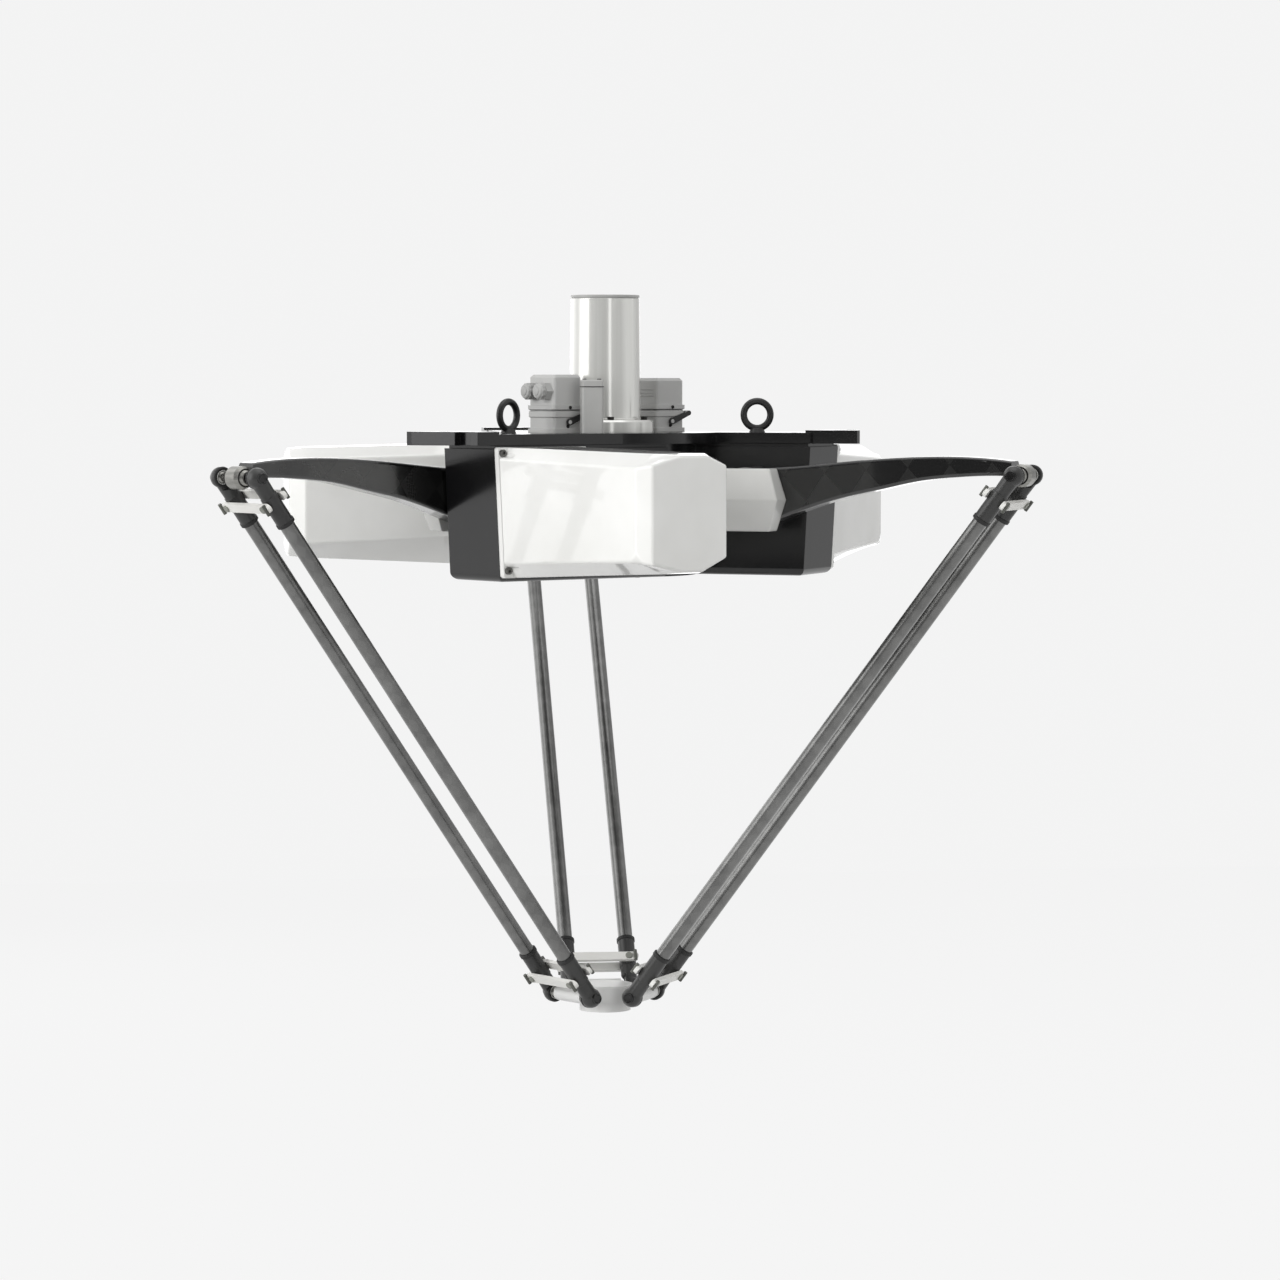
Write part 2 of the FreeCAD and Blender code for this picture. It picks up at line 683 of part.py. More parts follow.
def make_arm():
    half = ARM_ROOT_WIDTH / 2
    beam = moved(arm_side(), Vector(0, -half, 0)).extrude(Vector(0, ARM_ROOT_WIDTH, 0))
    beam = beam.common(arm_plan())
    hub = cylinder(ARM_HUB_RADIUS, ARM_ROOT_WIDTH, HUB - Y_AXIS * half, Y_AXIS)
    arm = fused([beam, hub])
    arm = arm.makeFillet(ARM_FILLET, [e for e in arm.Edges if arm_edge_is_round(e)])
    cuts = [elbow_barrel()]
    hole_radius = HUB_SCREW_RADIUS + HUB_HOLE_CLEARANCE
    for u, z in circle_points(HUB_SCREW_CIRCLE, HUB_SCREW_COUNT):
        place = HUB + Vector(u, -half - 1, z)
        cuts.append(cylinder(hole_radius, ARM_ROOT_WIDTH + 2, place, Y_AXIS))
    return arm.cut(cuts)


def make_output_shaft():
    start = ARM_ROOT_WIDTH / 2
    flange = cylinder(OUTPUT_FLANGE_RADIUS, OUTPUT_FLANGE_THICKNESS, HUB + Y_AXIS * start, Y_AXIS)
    end = LOBE_NEAR + RECESS_DEPTH + OUTPUT_SHAFT_LENGTH - 2
    shaft = cylinder(OUTPUT_SHAFT_RADIUS, end - start, HUB + Y_AXIS * start, Y_AXIS)
    cuts = []
    for u, z in circle_points(HUB_SCREW_CIRCLE, HUB_SCREW_COUNT):
        place = HUB + Vector(u, start - 1, z)
        cuts.append(cylinder(HUB_SCREW_RADIUS, OUTPUT_FLANGE_THICKNESS + 2, place, Y_AXIS))
    return flange.fuse(shaft).removeSplitter().cut(cuts)


def make_hub_screws():
    start = -ARM_ROOT_WIDTH / 2
    length = ARM_ROOT_WIDTH + OUTPUT_FLANGE_THICKNESS - 1
    screws = []
    for u, z in circle_points(HUB_SCREW_CIRCLE, HUB_SCREW_COUNT):
        screws.append(cap_screw(HUB_SCREW_RADIUS, length, HUB + Vector(u, start, z), Y_AXIS))
    return Part.makeCompound(screws)


def cap_outline(k, s):
    pairs = [
        (CAP_HALF_LENGTH, 0),
        (CAP_HALF_FLAT, CAP_HALF_HEIGHT),
        (-CAP_HALF_FLAT, CAP_HALF_HEIGHT),
        (-CAP_HALF_LENGTH, 0),
        (-CAP_HALF_FLAT, -CAP_HALF_HEIGHT),
        (CAP_HALF_FLAT, -CAP_HALF_HEIGHT),
    ]
    return [HUB + Vector(u * k, s, z * k) for u, z in pairs]


def make_hub_cap():
    face_s = -ARM_ROOT_WIDTH / 2
    block = prism(cap_outline(1.0, face_s), Vector(0, -CAP_EDGE_DEPTH - CAP_CREST, 0))
    roof_points = [
        (-CAP_HALF_HEIGHT - 5, -CAP_EDGE_DEPTH),
        (0, -CAP_EDGE_DEPTH - CAP_CREST),
        (CAP_HALF_HEIGHT + 5, -CAP_EDGE_DEPTH),
        (CAP_HALF_HEIGHT + 5, 5),
        (-CAP_HALF_HEIGHT - 5, 5),
    ]
    start_u = HUB_RADIUS - CAP_HALF_LENGTH - 10
    roof = prism(
        [Vector(start_u, face_s + s, HUB_Z + z) for z, s in roof_points],
        Vector(2 * CAP_HALF_LENGTH + 20, 0, 0),
    )
    cap = block.common(roof)
    front = [e for e in cap.Edges if e.CenterOfMass.y < face_s - 1]
    cap = cap.makeFillet(2.0, front)
    pocket = cylinder(CAP_POCKET_RADIUS, CAP_POCKET_DEPTH, HUB + Y_AXIS * face_s, -Y_AXIS)
    return cap.cut(pocket)


# Ball joints and rods


def elbow_barrel():
    """The thick middle of the elbow shaft, tapered to both ends."""
    shapes = [cylinder(ELBOW_RADIUS, 2 * ELBOW_FLAT_HALF, TIP - Y_AXIS * ELBOW_FLAT_HALF, Y_AXIS)]
    for side in (-1, 1):
        start = TIP + Y_AXIS * (side * ELBOW_FLAT_HALF)
        taper = ELBOW_HALF - ELBOW_FLAT_HALF
        shapes.append(Part.makeCone(ELBOW_RADIUS, ELBOW_END_RADIUS, taper, start, Y_AXIS * side))
    return fused(shapes)


def make_elbow_shaft():
    bar = elbow_barrel()
    neck = cylinder(BALL_NECK_RADIUS, ROD_SPACING, TIP - Y_AXIS * SOCKET_OFFSET, Y_AXIS)
    balls = [Part.makeSphere(BALL_RADIUS, TIP + Y_AXIS * s) for s in (-SOCKET_OFFSET, SOCKET_OFFSET)]
    return fused([bar, neck] + balls)


def rod_point(side, distance):
    """A point on a rod's axis, at a distance from its upper ball."""
    return TIP + Y_AXIS * (side * SOCKET_OFFSET) + ROD_DIRECTION * distance


def make_socket(side, at_top):
    """A socket cup over a ball, with the sleeve that holds the rod's end."""
    centre = rod_point(side, 0 if at_top else ROD_LENGTH)
    along = ROD_DIRECTION if at_top else -ROD_DIRECTION
    cup = Part.makeSphere(SOCKET_RADIUS, centre)
    waist = Part.makeCone(SOCKET_RADIUS * 0.82, SLEEVE_RADIUS * 0.9, 24, centre + along * 4, along)
    sleeve = cylinder(SLEEVE_RADIUS, SLEEVE_LENGTH - 26, centre + along * 26, along)
    collar = Part.makeCone(SLEEVE_RADIUS * 0.9, SLEEVE_RADIUS, 4, centre + along * 24, along)
    body = fused([cup, waist, collar, sleeve])
    cut_start = centre - Y_AXIS * (side * SOCKET_COVER)
    opening = cylinder(SOCKET_RADIUS + 3, SOCKET_RADIUS + 3, cut_start, Y_AXIS * -side)
    hollow = Part.makeSphere(BALL_RADIUS + RUNNING_FIT, centre)
    rod_bore = cylinder(ROD_RADIUS, SLEEVE_LENGTH, centre + along * SLEEVE_ROD_START, along)
    peg_reach = SLEEVE_RADIUS + TIE_GAP + TIE_THICKNESS + TIE_PEG_PROUD
    peg_start = centre + along * TIE_DISTANCE - ROD_SIDE * peg_reach
    peg = cylinder(TIE_PEG_RADIUS, 2 * peg_reach, peg_start, ROD_SIDE)
    return body.fuse(peg).cut([opening, hollow, rod_bore])


def make_rod_sockets():
    return Part.makeCompound([make_socket(side, top) for side in (-1, 1) for top in (True, False)])


def make_rods():
    rods = []
    for side in (-1, 1):
        start = rod_point(side, SLEEVE_ROD_START)
        length = ROD_LENGTH - 2 * SLEEVE_ROD_START
        tube = cylinder(ROD_RADIUS, length, start, ROD_DIRECTION)
        rods.append(tube.cut(cylinder(ROD_RADIUS - ROD_WALL, length, start, ROD_DIRECTION)))
    return Part.makeCompound(rods)


def make_lower_balls():
    """Balls in the lower sockets, with necks that end just short of the platform's bars."""
    balls = []
    for side in (-1, 1):
        centre = rod_point(side, ROD_LENGTH)
        ball = Part.makeSphere(BALL_RADIUS, centre)
        length = SOCKET_OFFSET - PLATFORM_NECK - OPEN_PIVOT_GAP
        neck = cylinder(BALL_NECK_RADIUS, length, centre, Y_AXIS * -side)
        balls.append(ball.fuse(neck).removeSplitter())
    return Part.makeCompound(balls)


def tie_places():
    """Middle points of the four tie bars, and the way each lies from the rods."""
    places = []
    for distance in (TIE_DISTANCE, ROD_LENGTH - TIE_DISTANCE):
        for way in (-1, 1):
            places.append((TIP + ROD_DIRECTION * distance, way))
    return places


def tie_pin_places(middle, way):
    """Start points of the two pins that lie across a tie bar's ends, along the rods."""
    out = SLEEVE_RADIUS + TIE_GAP + TIE_THICKNESS + TIE_PIN_RADIUS - TIE_PIN_SEAT
    half = SOCKET_OFFSET + TIE_OVERHANG - TIE_PIN_INSET
    start = middle + ROD_SIDE * (way * out) - ROD_DIRECTION * (TIE_PIN_LENGTH / 2)
    return [start + Y_AXIS * s for s in (-half, half)]


def make_tie_bar(middle, way):
    half = SOCKET_OFFSET + TIE_OVERHANG
    radius = TIE_HEIGHT / 2
    inner = middle + ROD_SIDE * (way * (SLEEVE_RADIUS + TIE_GAP))
    bar_half = half - radius
    along = ROD_DIRECTION * radius
    points = [inner - Y_AXIS * bar_half - along, inner + Y_AXIS * bar_half - along]
    points += [inner + Y_AXIS * bar_half + along, inner - Y_AXIS * bar_half + along]
    direction = ROD_SIDE * way
    strip = prism(points, direction * TIE_THICKNESS)
    ends = [cylinder(radius, TIE_THICKNESS, inner + Y_AXIS * s, direction) for s in (-bar_half, bar_half)]
    bar = fused([strip] + ends)
    cuts = []
    for s in (-SOCKET_OFFSET, SOCKET_OFFSET):
        start = inner + Y_AXIS * s - direction * TIE_THICKNESS
        cuts.append(cylinder(TIE_PEG_RADIUS + TIE_FIT, 3 * TIE_THICKNESS, start, direction))
    for place in tie_pin_places(middle, way):
        cuts.append(cylinder(TIE_PIN_RADIUS + TIE_FIT, TIE_PIN_LENGTH, place, ROD_DIRECTION))
    return bar.cut(cuts)


def make_tie_bars():
    return Part.makeCompound([make_tie_bar(middle, way) for middle, way in tie_places()])


def make_tie_pins():
    """Short steel pins across the ends of the tie bars."""
    pins = []
    for middle, way in tie_places():
        for place in tie_pin_places(middle, way):
            pins.append(cylinder(TIE_PIN_RADIUS, TIE_PIN_LENGTH, place, ROD_DIRECTION))
    return Part.makeCompound(pins)


# Platform


def make_platform():
    low = PLATFORM_Z - PLATFORM_HEIGHT / 2
    disc = cylinder(PLATFORM_RADIUS, PLATFORM_HEIGHT, Vector(0, 0, low), Z_AXIS)
    rims = [e for e in disc.Edges if len(e.Vertexes) == 1 and e.CenterOfMass.z > low + 1]
    disc = disc.makeFillet(PLATFORM_FILLET, rims)
    shapes = [disc]
    for azimuth in ARM_AZIMUTHS:
        bar = cylinder(PLATFORM_BAR_RADIUS, 2 * PLATFORM_NECK, FOOT - Y_AXIS * PLATFORM_NECK, Y_AXIS)
        web_start = Vector(0, -WEB_WIDTH / 2, PLATFORM_Z - WEB_HEIGHT / 2)
        web = Part.makeBox(PLATFORM_JOINT_RADIUS, WEB_WIDTH, WEB_HEIGHT, web_start)
        shapes += [turned(bar, azimuth), turned(web, azimuth)]
    platform = fused(shapes)
    cuts = []
    for x, y in circle_points(TOOL_SCREW_CIRCLE, TOOL_BOLT_COUNT, 45):
        cuts.append(cylinder(TOOL_SCREW_RADIUS, PLATFORM_HEIGHT / 2, Vector(x, y, low - 1), Z_AXIS))
    return platform.cut(cuts)


def make_tool_flange():
    low = PLATFORM_Z - PLATFORM_HEIGHT / 2 - TOOL_FLANGE_THICKNESS
    disc = cylinder(TOOL_FLANGE_RADIUS, TOOL_FLANGE_THICKNESS, Vector(0, 0, low), Z_AXIS)
    cuts = [cylinder(TOOL_PILOT_RADIUS, TOOL_FLANGE_THICKNESS, Vector(0, 0, low), Z_AXIS)]
    for x, y in circle_points(TOOL_PCD_RADIUS, TOOL_BOLT_COUNT):
        cuts.append(cylinder(TOOL_HOLE_RADIUS, TOOL_FLANGE_THICKNESS + 2, Vector(x, y, low - 1), Z_AXIS))
    head_height = 1.6 * TOOL_SCREW_RADIUS
    head_radius = SCREW_HEAD_RATIO * TOOL_SCREW_RADIUS
    for x, y in circle_points(TOOL_SCREW_CIRCLE, TOOL_BOLT_COUNT, 45):
        cuts.append(cylinder(TOOL_SCREW_RADIUS, TOOL_FLANGE_THICKNESS, Vector(x, y, low), Z_AXIS))
        cuts.append(cylinder(head_radius, head_height + 1, Vector(x, y, low), Z_AXIS))
    return disc.cut(cuts)


def make_flange_screws():
    low = PLATFORM_Z - PLATFORM_HEIGHT / 2 - TOOL_FLANGE_THICKNESS
    head_height = 1.6 * TOOL_SCREW_RADIUS
    screws = []
    for x, y in circle_points(TOOL_SCREW_CIRCLE, TOOL_BOLT_COUNT, 45):
        place = Vector(x, y, low + head_height + 1)
        length = TOOL_FLANGE_THICKNESS - head_height - 1 + PLATFORM_HEIGHT / 2 - 2
        screws.append(cap_screw(TOOL_SCREW_RADIUS, length, place, Z_AXIS))
    return screws


# Centre column


def make_column_flange():
    flange = cylinder(COLUMN_FLANGE_RADIUS, COLUMN_FLANGE_HEIGHT, Vector(0, 0, PLATE_TOP), Z_AXIS)
    top = PLATE_TOP + COLUMN_FLANGE_HEIGHT
    rim = [e for e in flange.Edges if len(e.Vertexes) == 1 and abs(e.CenterOfMass.z - top) < 0.01]
    return flange.makeChamfer(2.5, rim).cut(column_screw_holes())


def make_column():
    low = PLATE_TOP + COLUMN_FLANGE_HEIGHT
    height = COLUMN_TOP - COLUMN_CAP_THICKNESS - COLUMN_CAP_GROOVE - low
    outside = Part.makeCone(COLUMN_FOOT_RADIUS, COLUMN_RADIUS, height, Vector(0, 0, low), Z_AXIS)
    inside = Part.makeCone(
        COLUMN_FOOT_RADIUS - COLUMN_WALL, COLUMN_RADIUS - COLUMN_WALL, height, Vector(0, 0, low), Z_AXIS
    )
    return outside.cut(inside)


def make_column_cap():
    low = COLUMN_TOP - COLUMN_CAP_THICKNESS
    cap = cylinder(COLUMN_RADIUS, COLUMN_CAP_THICKNESS, Vector(0, 0, low), Z_AXIS)
    rim = [e for e in cap.Edges if len(e.Vertexes) == 1 and abs(e.CenterOfMass.z - COLUMN_TOP) < 0.01]
    cap = cap.makeFillet(1.2, rim)
    groove = cylinder(COLUMN_RADIUS - 1.2, COLUMN_CAP_GROOVE, Vector(0, 0, low - COLUMN_CAP_GROOVE), Z_AXIS)
    return cap.fuse(groove).removeSplitter()


def column_screw_tops():
    """Where the heads of the flange's screws stand."""
    radius = (COLUMN_FOOT_RADIUS + COLUMN_FLANGE_RADIUS) / 2
    top = PLATE_TOP + COLUMN_FLANGE_HEIGHT
    return [Vector(x, y, top) for x, y in circle_points(radius, COLUMN_SCREW_COUNT, 30)]


def column_screw_holes():
    length = COLUMN_FLANGE_HEIGHT + COLUMN_SCREW_DEPTH
    return [cylinder(COLUMN_SCREW_RADIUS, length, place, -Z_AXIS) for place in column_screw_tops()]


def make_column_screws():
    length = COLUMN_FLANGE_HEIGHT + COLUMN_SCREW_DEPTH
    return [cap_screw(COLUMN_SCREW_RADIUS, length, place, -Z_AXIS) for place in column_screw_tops()]


# Connectors, built about their own middle with their width along +X, then turned and moved


def place_connector(shape, centre):
    copy = turned(shape, CONNECTOR_TURN)
    return moved(copy, Vector(centre.x, centre.y, PLATE_TOP))


def make_connector_base():
    half_w = CONNECTOR_WIDTH / 2
    half_l = CONNECTOR_LENGTH / 2
    foot_w = half_w + CONNECTOR_RIM
    foot_l = half_l + CONNECTOR_RIM
    foot_high = Vector(foot_w, foot_l, CONNECTOR_FOOT)
    foot = rounded_box(Vector(-foot_w, -foot_l, 0), foot_high, CONNECTOR_CORNER)
    body = rounded_box(
        Vector(-half_w, -half_l, CONNECTOR_FOOT),
        Vector(half_w, half_l, CONNECTOR_BASE_HEIGHT),
        CONNECTOR_CORNER,
    )
    base = foot.fuse(body).removeSplitter()
    pins = []
    for side in (-1, 1):
        start = Vector(0, side * half_l, LEVER_PIVOT_HEIGHT)
        pins.append(cylinder(LEVER_PIVOT_RADIUS, LEVER_PIN_LENGTH, start, Y_AXIS * side))
    return fused([base] + pins)


def make_connector_hood(height):
    half_w = CONNECTOR_WIDTH / 2
    half_l = CONNECTOR_LENGTH / 2
    low = CONNECTOR_BASE_HEIGHT
    lip = rounded_box(
        Vector(-half_w - CONNECTOR_LIP, -half_l - CONNECTOR_LIP, low),
        Vector(half_w + CONNECTOR_LIP, half_l + CONNECTOR_LIP, low + CONNECTOR_LIP_HEIGHT),
        CONNECTOR_CORNER,
    )
    body_start = Vector(-half_w, -half_l, low + CONNECTOR_LIP_HEIGHT)
    body = rounded_box(body_start, Vector(half_w, half_l, height), CONNECTOR_CORNER)
    hood = lip.fuse(body).removeSplitter()
    top = [e for e in hood.Edges if abs(e.CenterOfMass.z - height) < 0.01]
    return hood.makeChamfer(CONNECTOR_CHAMFER * 0.5, top)


def make_lever():
    """A bail on the base's two pins, with its bar beside the hood."""
    half_l = CONNECTOR_LENGTH / 2
    pivot = Vector(0, 0, LEVER_PIVOT_HEIGHT)
    end = pivot + Vector(-LEVER_REACH, 0, LEVER_RISE)
    along = (end - pivot).normalize()
    up = Vector(-along.z, 0, along.x)
    half = LEVER_ARM_WIDTH / 2
    shapes = []
    outer = half_l + CONNECTOR_LIP + LEVER_SIDE_GAP
    for side in (-1, 1):
        offset = Y_AXIS * (side * outer)
        strip = prism(
            [
                pivot + offset - up * half,
                end + offset - up * half * 0.7,
                end + offset + up * half * 0.7,
                pivot + offset + up * half,
            ],
            Y_AXIS * (side * LEVER_ARM_THICKNESS),
        )
        eye = cylinder(half, LEVER_ARM_THICKNESS, pivot + offset, Y_AXIS * side)
        shapes += [strip, eye]
    reach = outer + LEVER_ARM_THICKNESS
    shapes.append(cylinder(LEVER_BAR_RADIUS, 2 * reach, end - Y_AXIS * reach, Y_AXIS))
    lever = fused(shapes)
    bore_radius = LEVER_PIVOT_RADIUS + RUNNING_FIT
    bore = cylinder(bore_radius, 2 * reach + 2, pivot - Y_AXIS * (reach + 1), Y_AXIS)
    return lever.cut(bore)


def make_glands():
    """Blanked cable glands on the outer face of the left hood."""
    half_w = CONNECTOR_WIDTH / 2
    glands = []
    height = LEFT_HEIGHT - GLAND_DROP - CONNECTOR_CHAMFER
    for side in (-1, 1):
        place = Vector(half_w, side * CONNECTOR_LENGTH * 0.24, height)
        corners = [place + hex_corner(X_AXIS, GLAND_HEX, i) for i in range(6)]
        nut = prism(corners, X_AXIS * GLAND_LENGTH)
        dome = cylinder(GLAND_DOME_RADIUS, GLAND_DOME_LENGTH, place + X_AXIS * GLAND_LENGTH, X_AXIS)
        outer = half_w + GLAND_LENGTH + 1
        rim = [e for e in dome.Edges if len(e.Vertexes) == 1 and e.CenterOfMass.x > outer]
        glands.append(nut.fuse(dome.makeFillet(3.0, rim)).removeSplitter())
    return Part.makeCompound(glands)


def make_junction_box():
    half_w = JUNCTION_WIDTH / 2
    half_d = JUNCTION_DEPTH / 2
    low = Vector(JUNCTION_BOX.x - half_w, JUNCTION_BOX.y - half_d, PLATE_TOP)
    high = Vector(JUNCTION_BOX.x + half_w, JUNCTION_BOX.y + half_d, PLATE_TOP + JUNCTION_HEIGHT)
    box = rounded_box(low, high, 3)
    top = [e for e in box.Edges if abs(e.CenterOfMass.z - high.z) < 0.01]
    return box.makeChamfer(1.5, top)


# Lifting eyes


def make_eyebolt(turn):
    """A lifting eye with its ring's axis turned about its shank, arm along +X."""
    base = Vector(EYE_U, EYE_S, PLATE_TOP)
    collar = Part.makeCone(EYE_COLLAR_RADIUS, EYE_COLLAR_RADIUS - 2.5, EYE_COLLAR_HEIGHT, base, Z_AXIS)
    centre = base + Z_AXIS * (EYE_COLLAR_HEIGHT + EYE_RADIUS + EYE_TUBE - 4.0)
    normal = Vector(math.sin(math.radians(turn)), -math.cos(math.radians(turn)), 0)
    ring = Part.makeTorus(EYE_RADIUS, EYE_TUBE, centre, normal)
    shank = cylinder(EYE_SHANK_RADIUS, PLATE_THICKNESS, base, -Z_AXIS)
    return fused([collar, ring, shank])


def make_eyebolts():
    eyes = []
    for azimuth, turn in zip(ARM_AZIMUTHS, EYE_TURNS):
        eyes.append(turned(make_eyebolt(turn - azimuth), azimuth))
    return eyes


# All pieces

keep("top_plate", make_top_plate())
keep("plate_screws", make_plate_screws())
keep("base_housing", make_base_housing())
keep("bottom_cover", make_bottom_cover())
keep("cover_screws", make_cover_screws())
keep("eyebolts", make_eyebolts())
keep("column_flange", make_column_flange())
keep("column", make_column())
keep("column_cap", make_column_cap())
keep("column_screws", make_column_screws())
keep("junction_box", make_junction_box())
keep("cable_glands", place_connector(make_glands(), LEFT_CONNECTOR))
connectors = (("left", LEFT_CONNECTOR, LEFT_HEIGHT), ("right", RIGHT_CONNECTOR, RIGHT_HEIGHT))
for name, centre, height in connectors:
    keep("connector_base_" + name, place_connector(make_connector_base(), centre))
    keep("connector_hood_" + name, place_connector(make_connector_hood(height), centre))
    keep("locking_lever_" + name, place_connector(make_lever(), centre))

UNIT_PIECES = {
    "gearbox": make_gearbox,
    "motor": make_motor,
    "motor_cover": make_motor_cover,
    "arm": make_arm,
    "output_shaft": make_output_shaft,
    "hub_screws": make_hub_screws,
    "hub_cap": make_hub_cap,
    "elbow_shaft": make_elbow_shaft,
    "rods": make_rods,
    "rod_sockets": make_rod_sockets,
    "lower_balls": make_lower_balls,
    "tie_bars": make_tie_bars,
    "tie_pins": make_tie_pins,
}
for piece, build in UNIT_PIECES.items():
    for number, shape in enumerate(three(build), 1):
        keep(piece + "_" + str(number), shape)

keep("platform", make_platform())
keep("tool_flange", make_tool_flange())
keep("flange_screws", make_flange_screws())

for name, shape in kept.items():
    if not shape.isValid():
        print("not valid:", name)
print(len(kept), "pieces")
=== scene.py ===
import bpy
import json
import math
from mathutils import Matrix, Vector


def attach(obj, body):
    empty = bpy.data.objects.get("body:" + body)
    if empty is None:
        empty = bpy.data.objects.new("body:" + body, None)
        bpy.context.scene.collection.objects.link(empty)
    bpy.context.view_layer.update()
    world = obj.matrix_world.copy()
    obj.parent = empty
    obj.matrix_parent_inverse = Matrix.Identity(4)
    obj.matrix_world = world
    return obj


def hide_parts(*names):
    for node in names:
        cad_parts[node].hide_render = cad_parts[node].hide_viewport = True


# Dressed delta robot. The frame's nodes get their finishes, thicker rods replace the
# frame's, and small fasteners, seals and trim ride on the bodies. A pale floor, soft studio
# lamps and the photograph's camera stand round it. Metres, +Z up. Each of the three units
# is described with its arm along +X and its motor towards +Y, then turned into place.

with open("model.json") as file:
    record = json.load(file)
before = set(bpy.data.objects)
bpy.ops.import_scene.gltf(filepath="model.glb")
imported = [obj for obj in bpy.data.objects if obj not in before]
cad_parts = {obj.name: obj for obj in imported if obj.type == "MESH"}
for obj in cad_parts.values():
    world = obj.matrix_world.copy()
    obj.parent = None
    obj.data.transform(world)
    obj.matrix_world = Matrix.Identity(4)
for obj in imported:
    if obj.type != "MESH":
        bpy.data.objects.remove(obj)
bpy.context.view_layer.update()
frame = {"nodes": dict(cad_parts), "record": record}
NODES = frame["nodes"]
SLOTS = {part["node"]: part["material_slot"] for part in frame["record"]["subparts"]}
MM = 0.001
X_AXIS = Vector((1, 0, 0))
Y_AXIS = Vector((0, 1, 0))
Z_AXIS = Vector((0, 0, 1))

# Linkage, as in the frame
ARM_AZIMUTHS = (90, 210, 330)
HUB_RADIUS = 190 * MM
HUB_Z = -83 * MM
TIP_RADIUS = 533 * MM
TIP_Z = -52 * MM
ROD_LENGTH = 800 * MM
ROD_SPACING = 76 * MM
PLATFORM_JOINT_RADIUS = 51 * MM
ROD_REACH = TIP_RADIUS - PLATFORM_JOINT_RADIUS
ROD_DROP = math.sqrt(ROD_LENGTH ** 2 - ROD_REACH ** 2)
ROD_TILT = math.atan2(-ROD_REACH, -ROD_DROP)
ROD_WAY = Vector((-ROD_REACH, 0, -ROD_DROP)).normalized()
ROD_FACE = Vector((-ROD_WAY.z, 0, ROD_WAY.x))
ARM_TILT = -math.atan2(TIP_Z - HUB_Z, TIP_RADIUS - HUB_RADIUS)
HUB = Vector((HUB_RADIUS, 0, HUB_Z))
TIP = Vector((TIP_RADIUS, 0, TIP_Z))

# Sockets, sleeves and tie bars, as in the frame
SOCKET_RADIUS = 12.3 * MM
SOCKET_COVER = 4 * MM
SLEEVE_RADIUS = 10.4 * MM
SLEEVE_END = 66 * MM
TIE_DISTANCE = 34 * MM
TIE_FACE = 15.6 * MM

# Base, connectors and column, as in the frame
PLATE_TOP = -3 * MM
HOUSING_BOTTOM = -176 * MM
LOBE_NEAR = 23 * MM
BOTTOM_COVER_RADIUS = 84 * MM
CONNECTOR_HALF_WIDTH = 21 * MM
CONNECTOR_HALF_LENGTH = 25 * MM
CONNECTOR_TURN = 210
LEFT_CONNECTOR = Vector((-68.8, -61.4, 0)) * MM
RIGHT_CONNECTOR = Vector((73, 55, 0)) * MM
LEFT_HOOD_TOP = 70 * MM
GLAND_DROP = 20 * MM
GLAND_SPREAD = 12 * MM
GLAND_NUT_END = 30 * MM
JUNCTION_BOX = Vector((-29, -96, 0)) * MM
JUNCTION_HALF_WIDTH = 13 * MM
JUNCTION_HALF_LENGTH = 11 * MM
JUNCTION_HEIGHT = 64 * MM
COLUMN_RADIUS = 42 * MM
COLUMN_FLANGE_TOP = 12 * MM

# Rods as the photograph shows them, thicker than the frame's
ROD_RADIUS = 9.0 * MM
ROD_INSERTION = 6 * MM
ROD_STEPS = 24
ROD_SIDES = 64

# Small pieces
SUNK = 0.3 * MM
RIM_INSET = 1.3 * MM
RIM_TUBE = 2.2 * MM
SEAT_RADIUS = 8.0 * MM
SEAT_TUBE = 1.1 * MM
SEAT_PROUD = 0.1 * MM
PLUG_SINK = 2.2 * MM
PEG_CAP_RADIUS = 4.4 * MM
PEG_CAP_HEIGHT = 1.8 * MM
PEG_CAP_CHAMFER = 0.5 * MM
SEAL_RADIUS = 37.5 * MM
SEAL_TUBE = 1.9 * MM
SEAL_SINK = 1.4 * MM
COVER_SCREW_COUNT = 8
COVER_SCREW_INSET = 6 * MM
BAND_CORNER = 4.5 * MM
RIB_LEVELS = (44 * MM, 48 * MM, 52 * MM)
RIB_END_INSET = 7 * MM
RIB_CORNER = 1.0 * MM
LOCK_PEG_SHIFT = -2 * MM
LOCK_PEG_PROUD = 2 * MM
LOCK_PEG_LEVEL = 30.5 * MM
FOOT_SCREW_LEVEL = 8 * MM
LID_CORNER = 3 * MM
LID_SCREW_INSET = 4 * MM
BEAD_TUBE = 1.6 * MM
BEAD_OUT = 1.2 * MM
BEAD_RISE = 0.6 * MM

# Rings on each half of an elbow shaft: radius, thickness and distance from its middle
ELBOW_RINGS = ((6.6 * MM, 1.2 * MM, 20.4 * MM), (10.4 * MM, 0.7 * MM, 14.9 * MM))

# Screw heads: radius and height
COVER_HEAD = (4.2 * MM, 2.2 * MM)
LOCK_HEAD = (2.1 * MM, 1.6 * MM)
FOOT_HEAD = (2.2 * MM, 1.4 * MM)
LID_HEAD = (1.8 * MM, 1.1 * MM)

# Round profiles in millimetres: radius and height
END_PLUG = ((6.6, -0.5), (6.6, 2.8), (6.0, 3.5), (5.0, 3.5), (4.2, 2.5), (2.0, 2.4))
GLAND_STOP = ((5.2, 7.6), (5.0, 8.6), (3.6, 9.2))

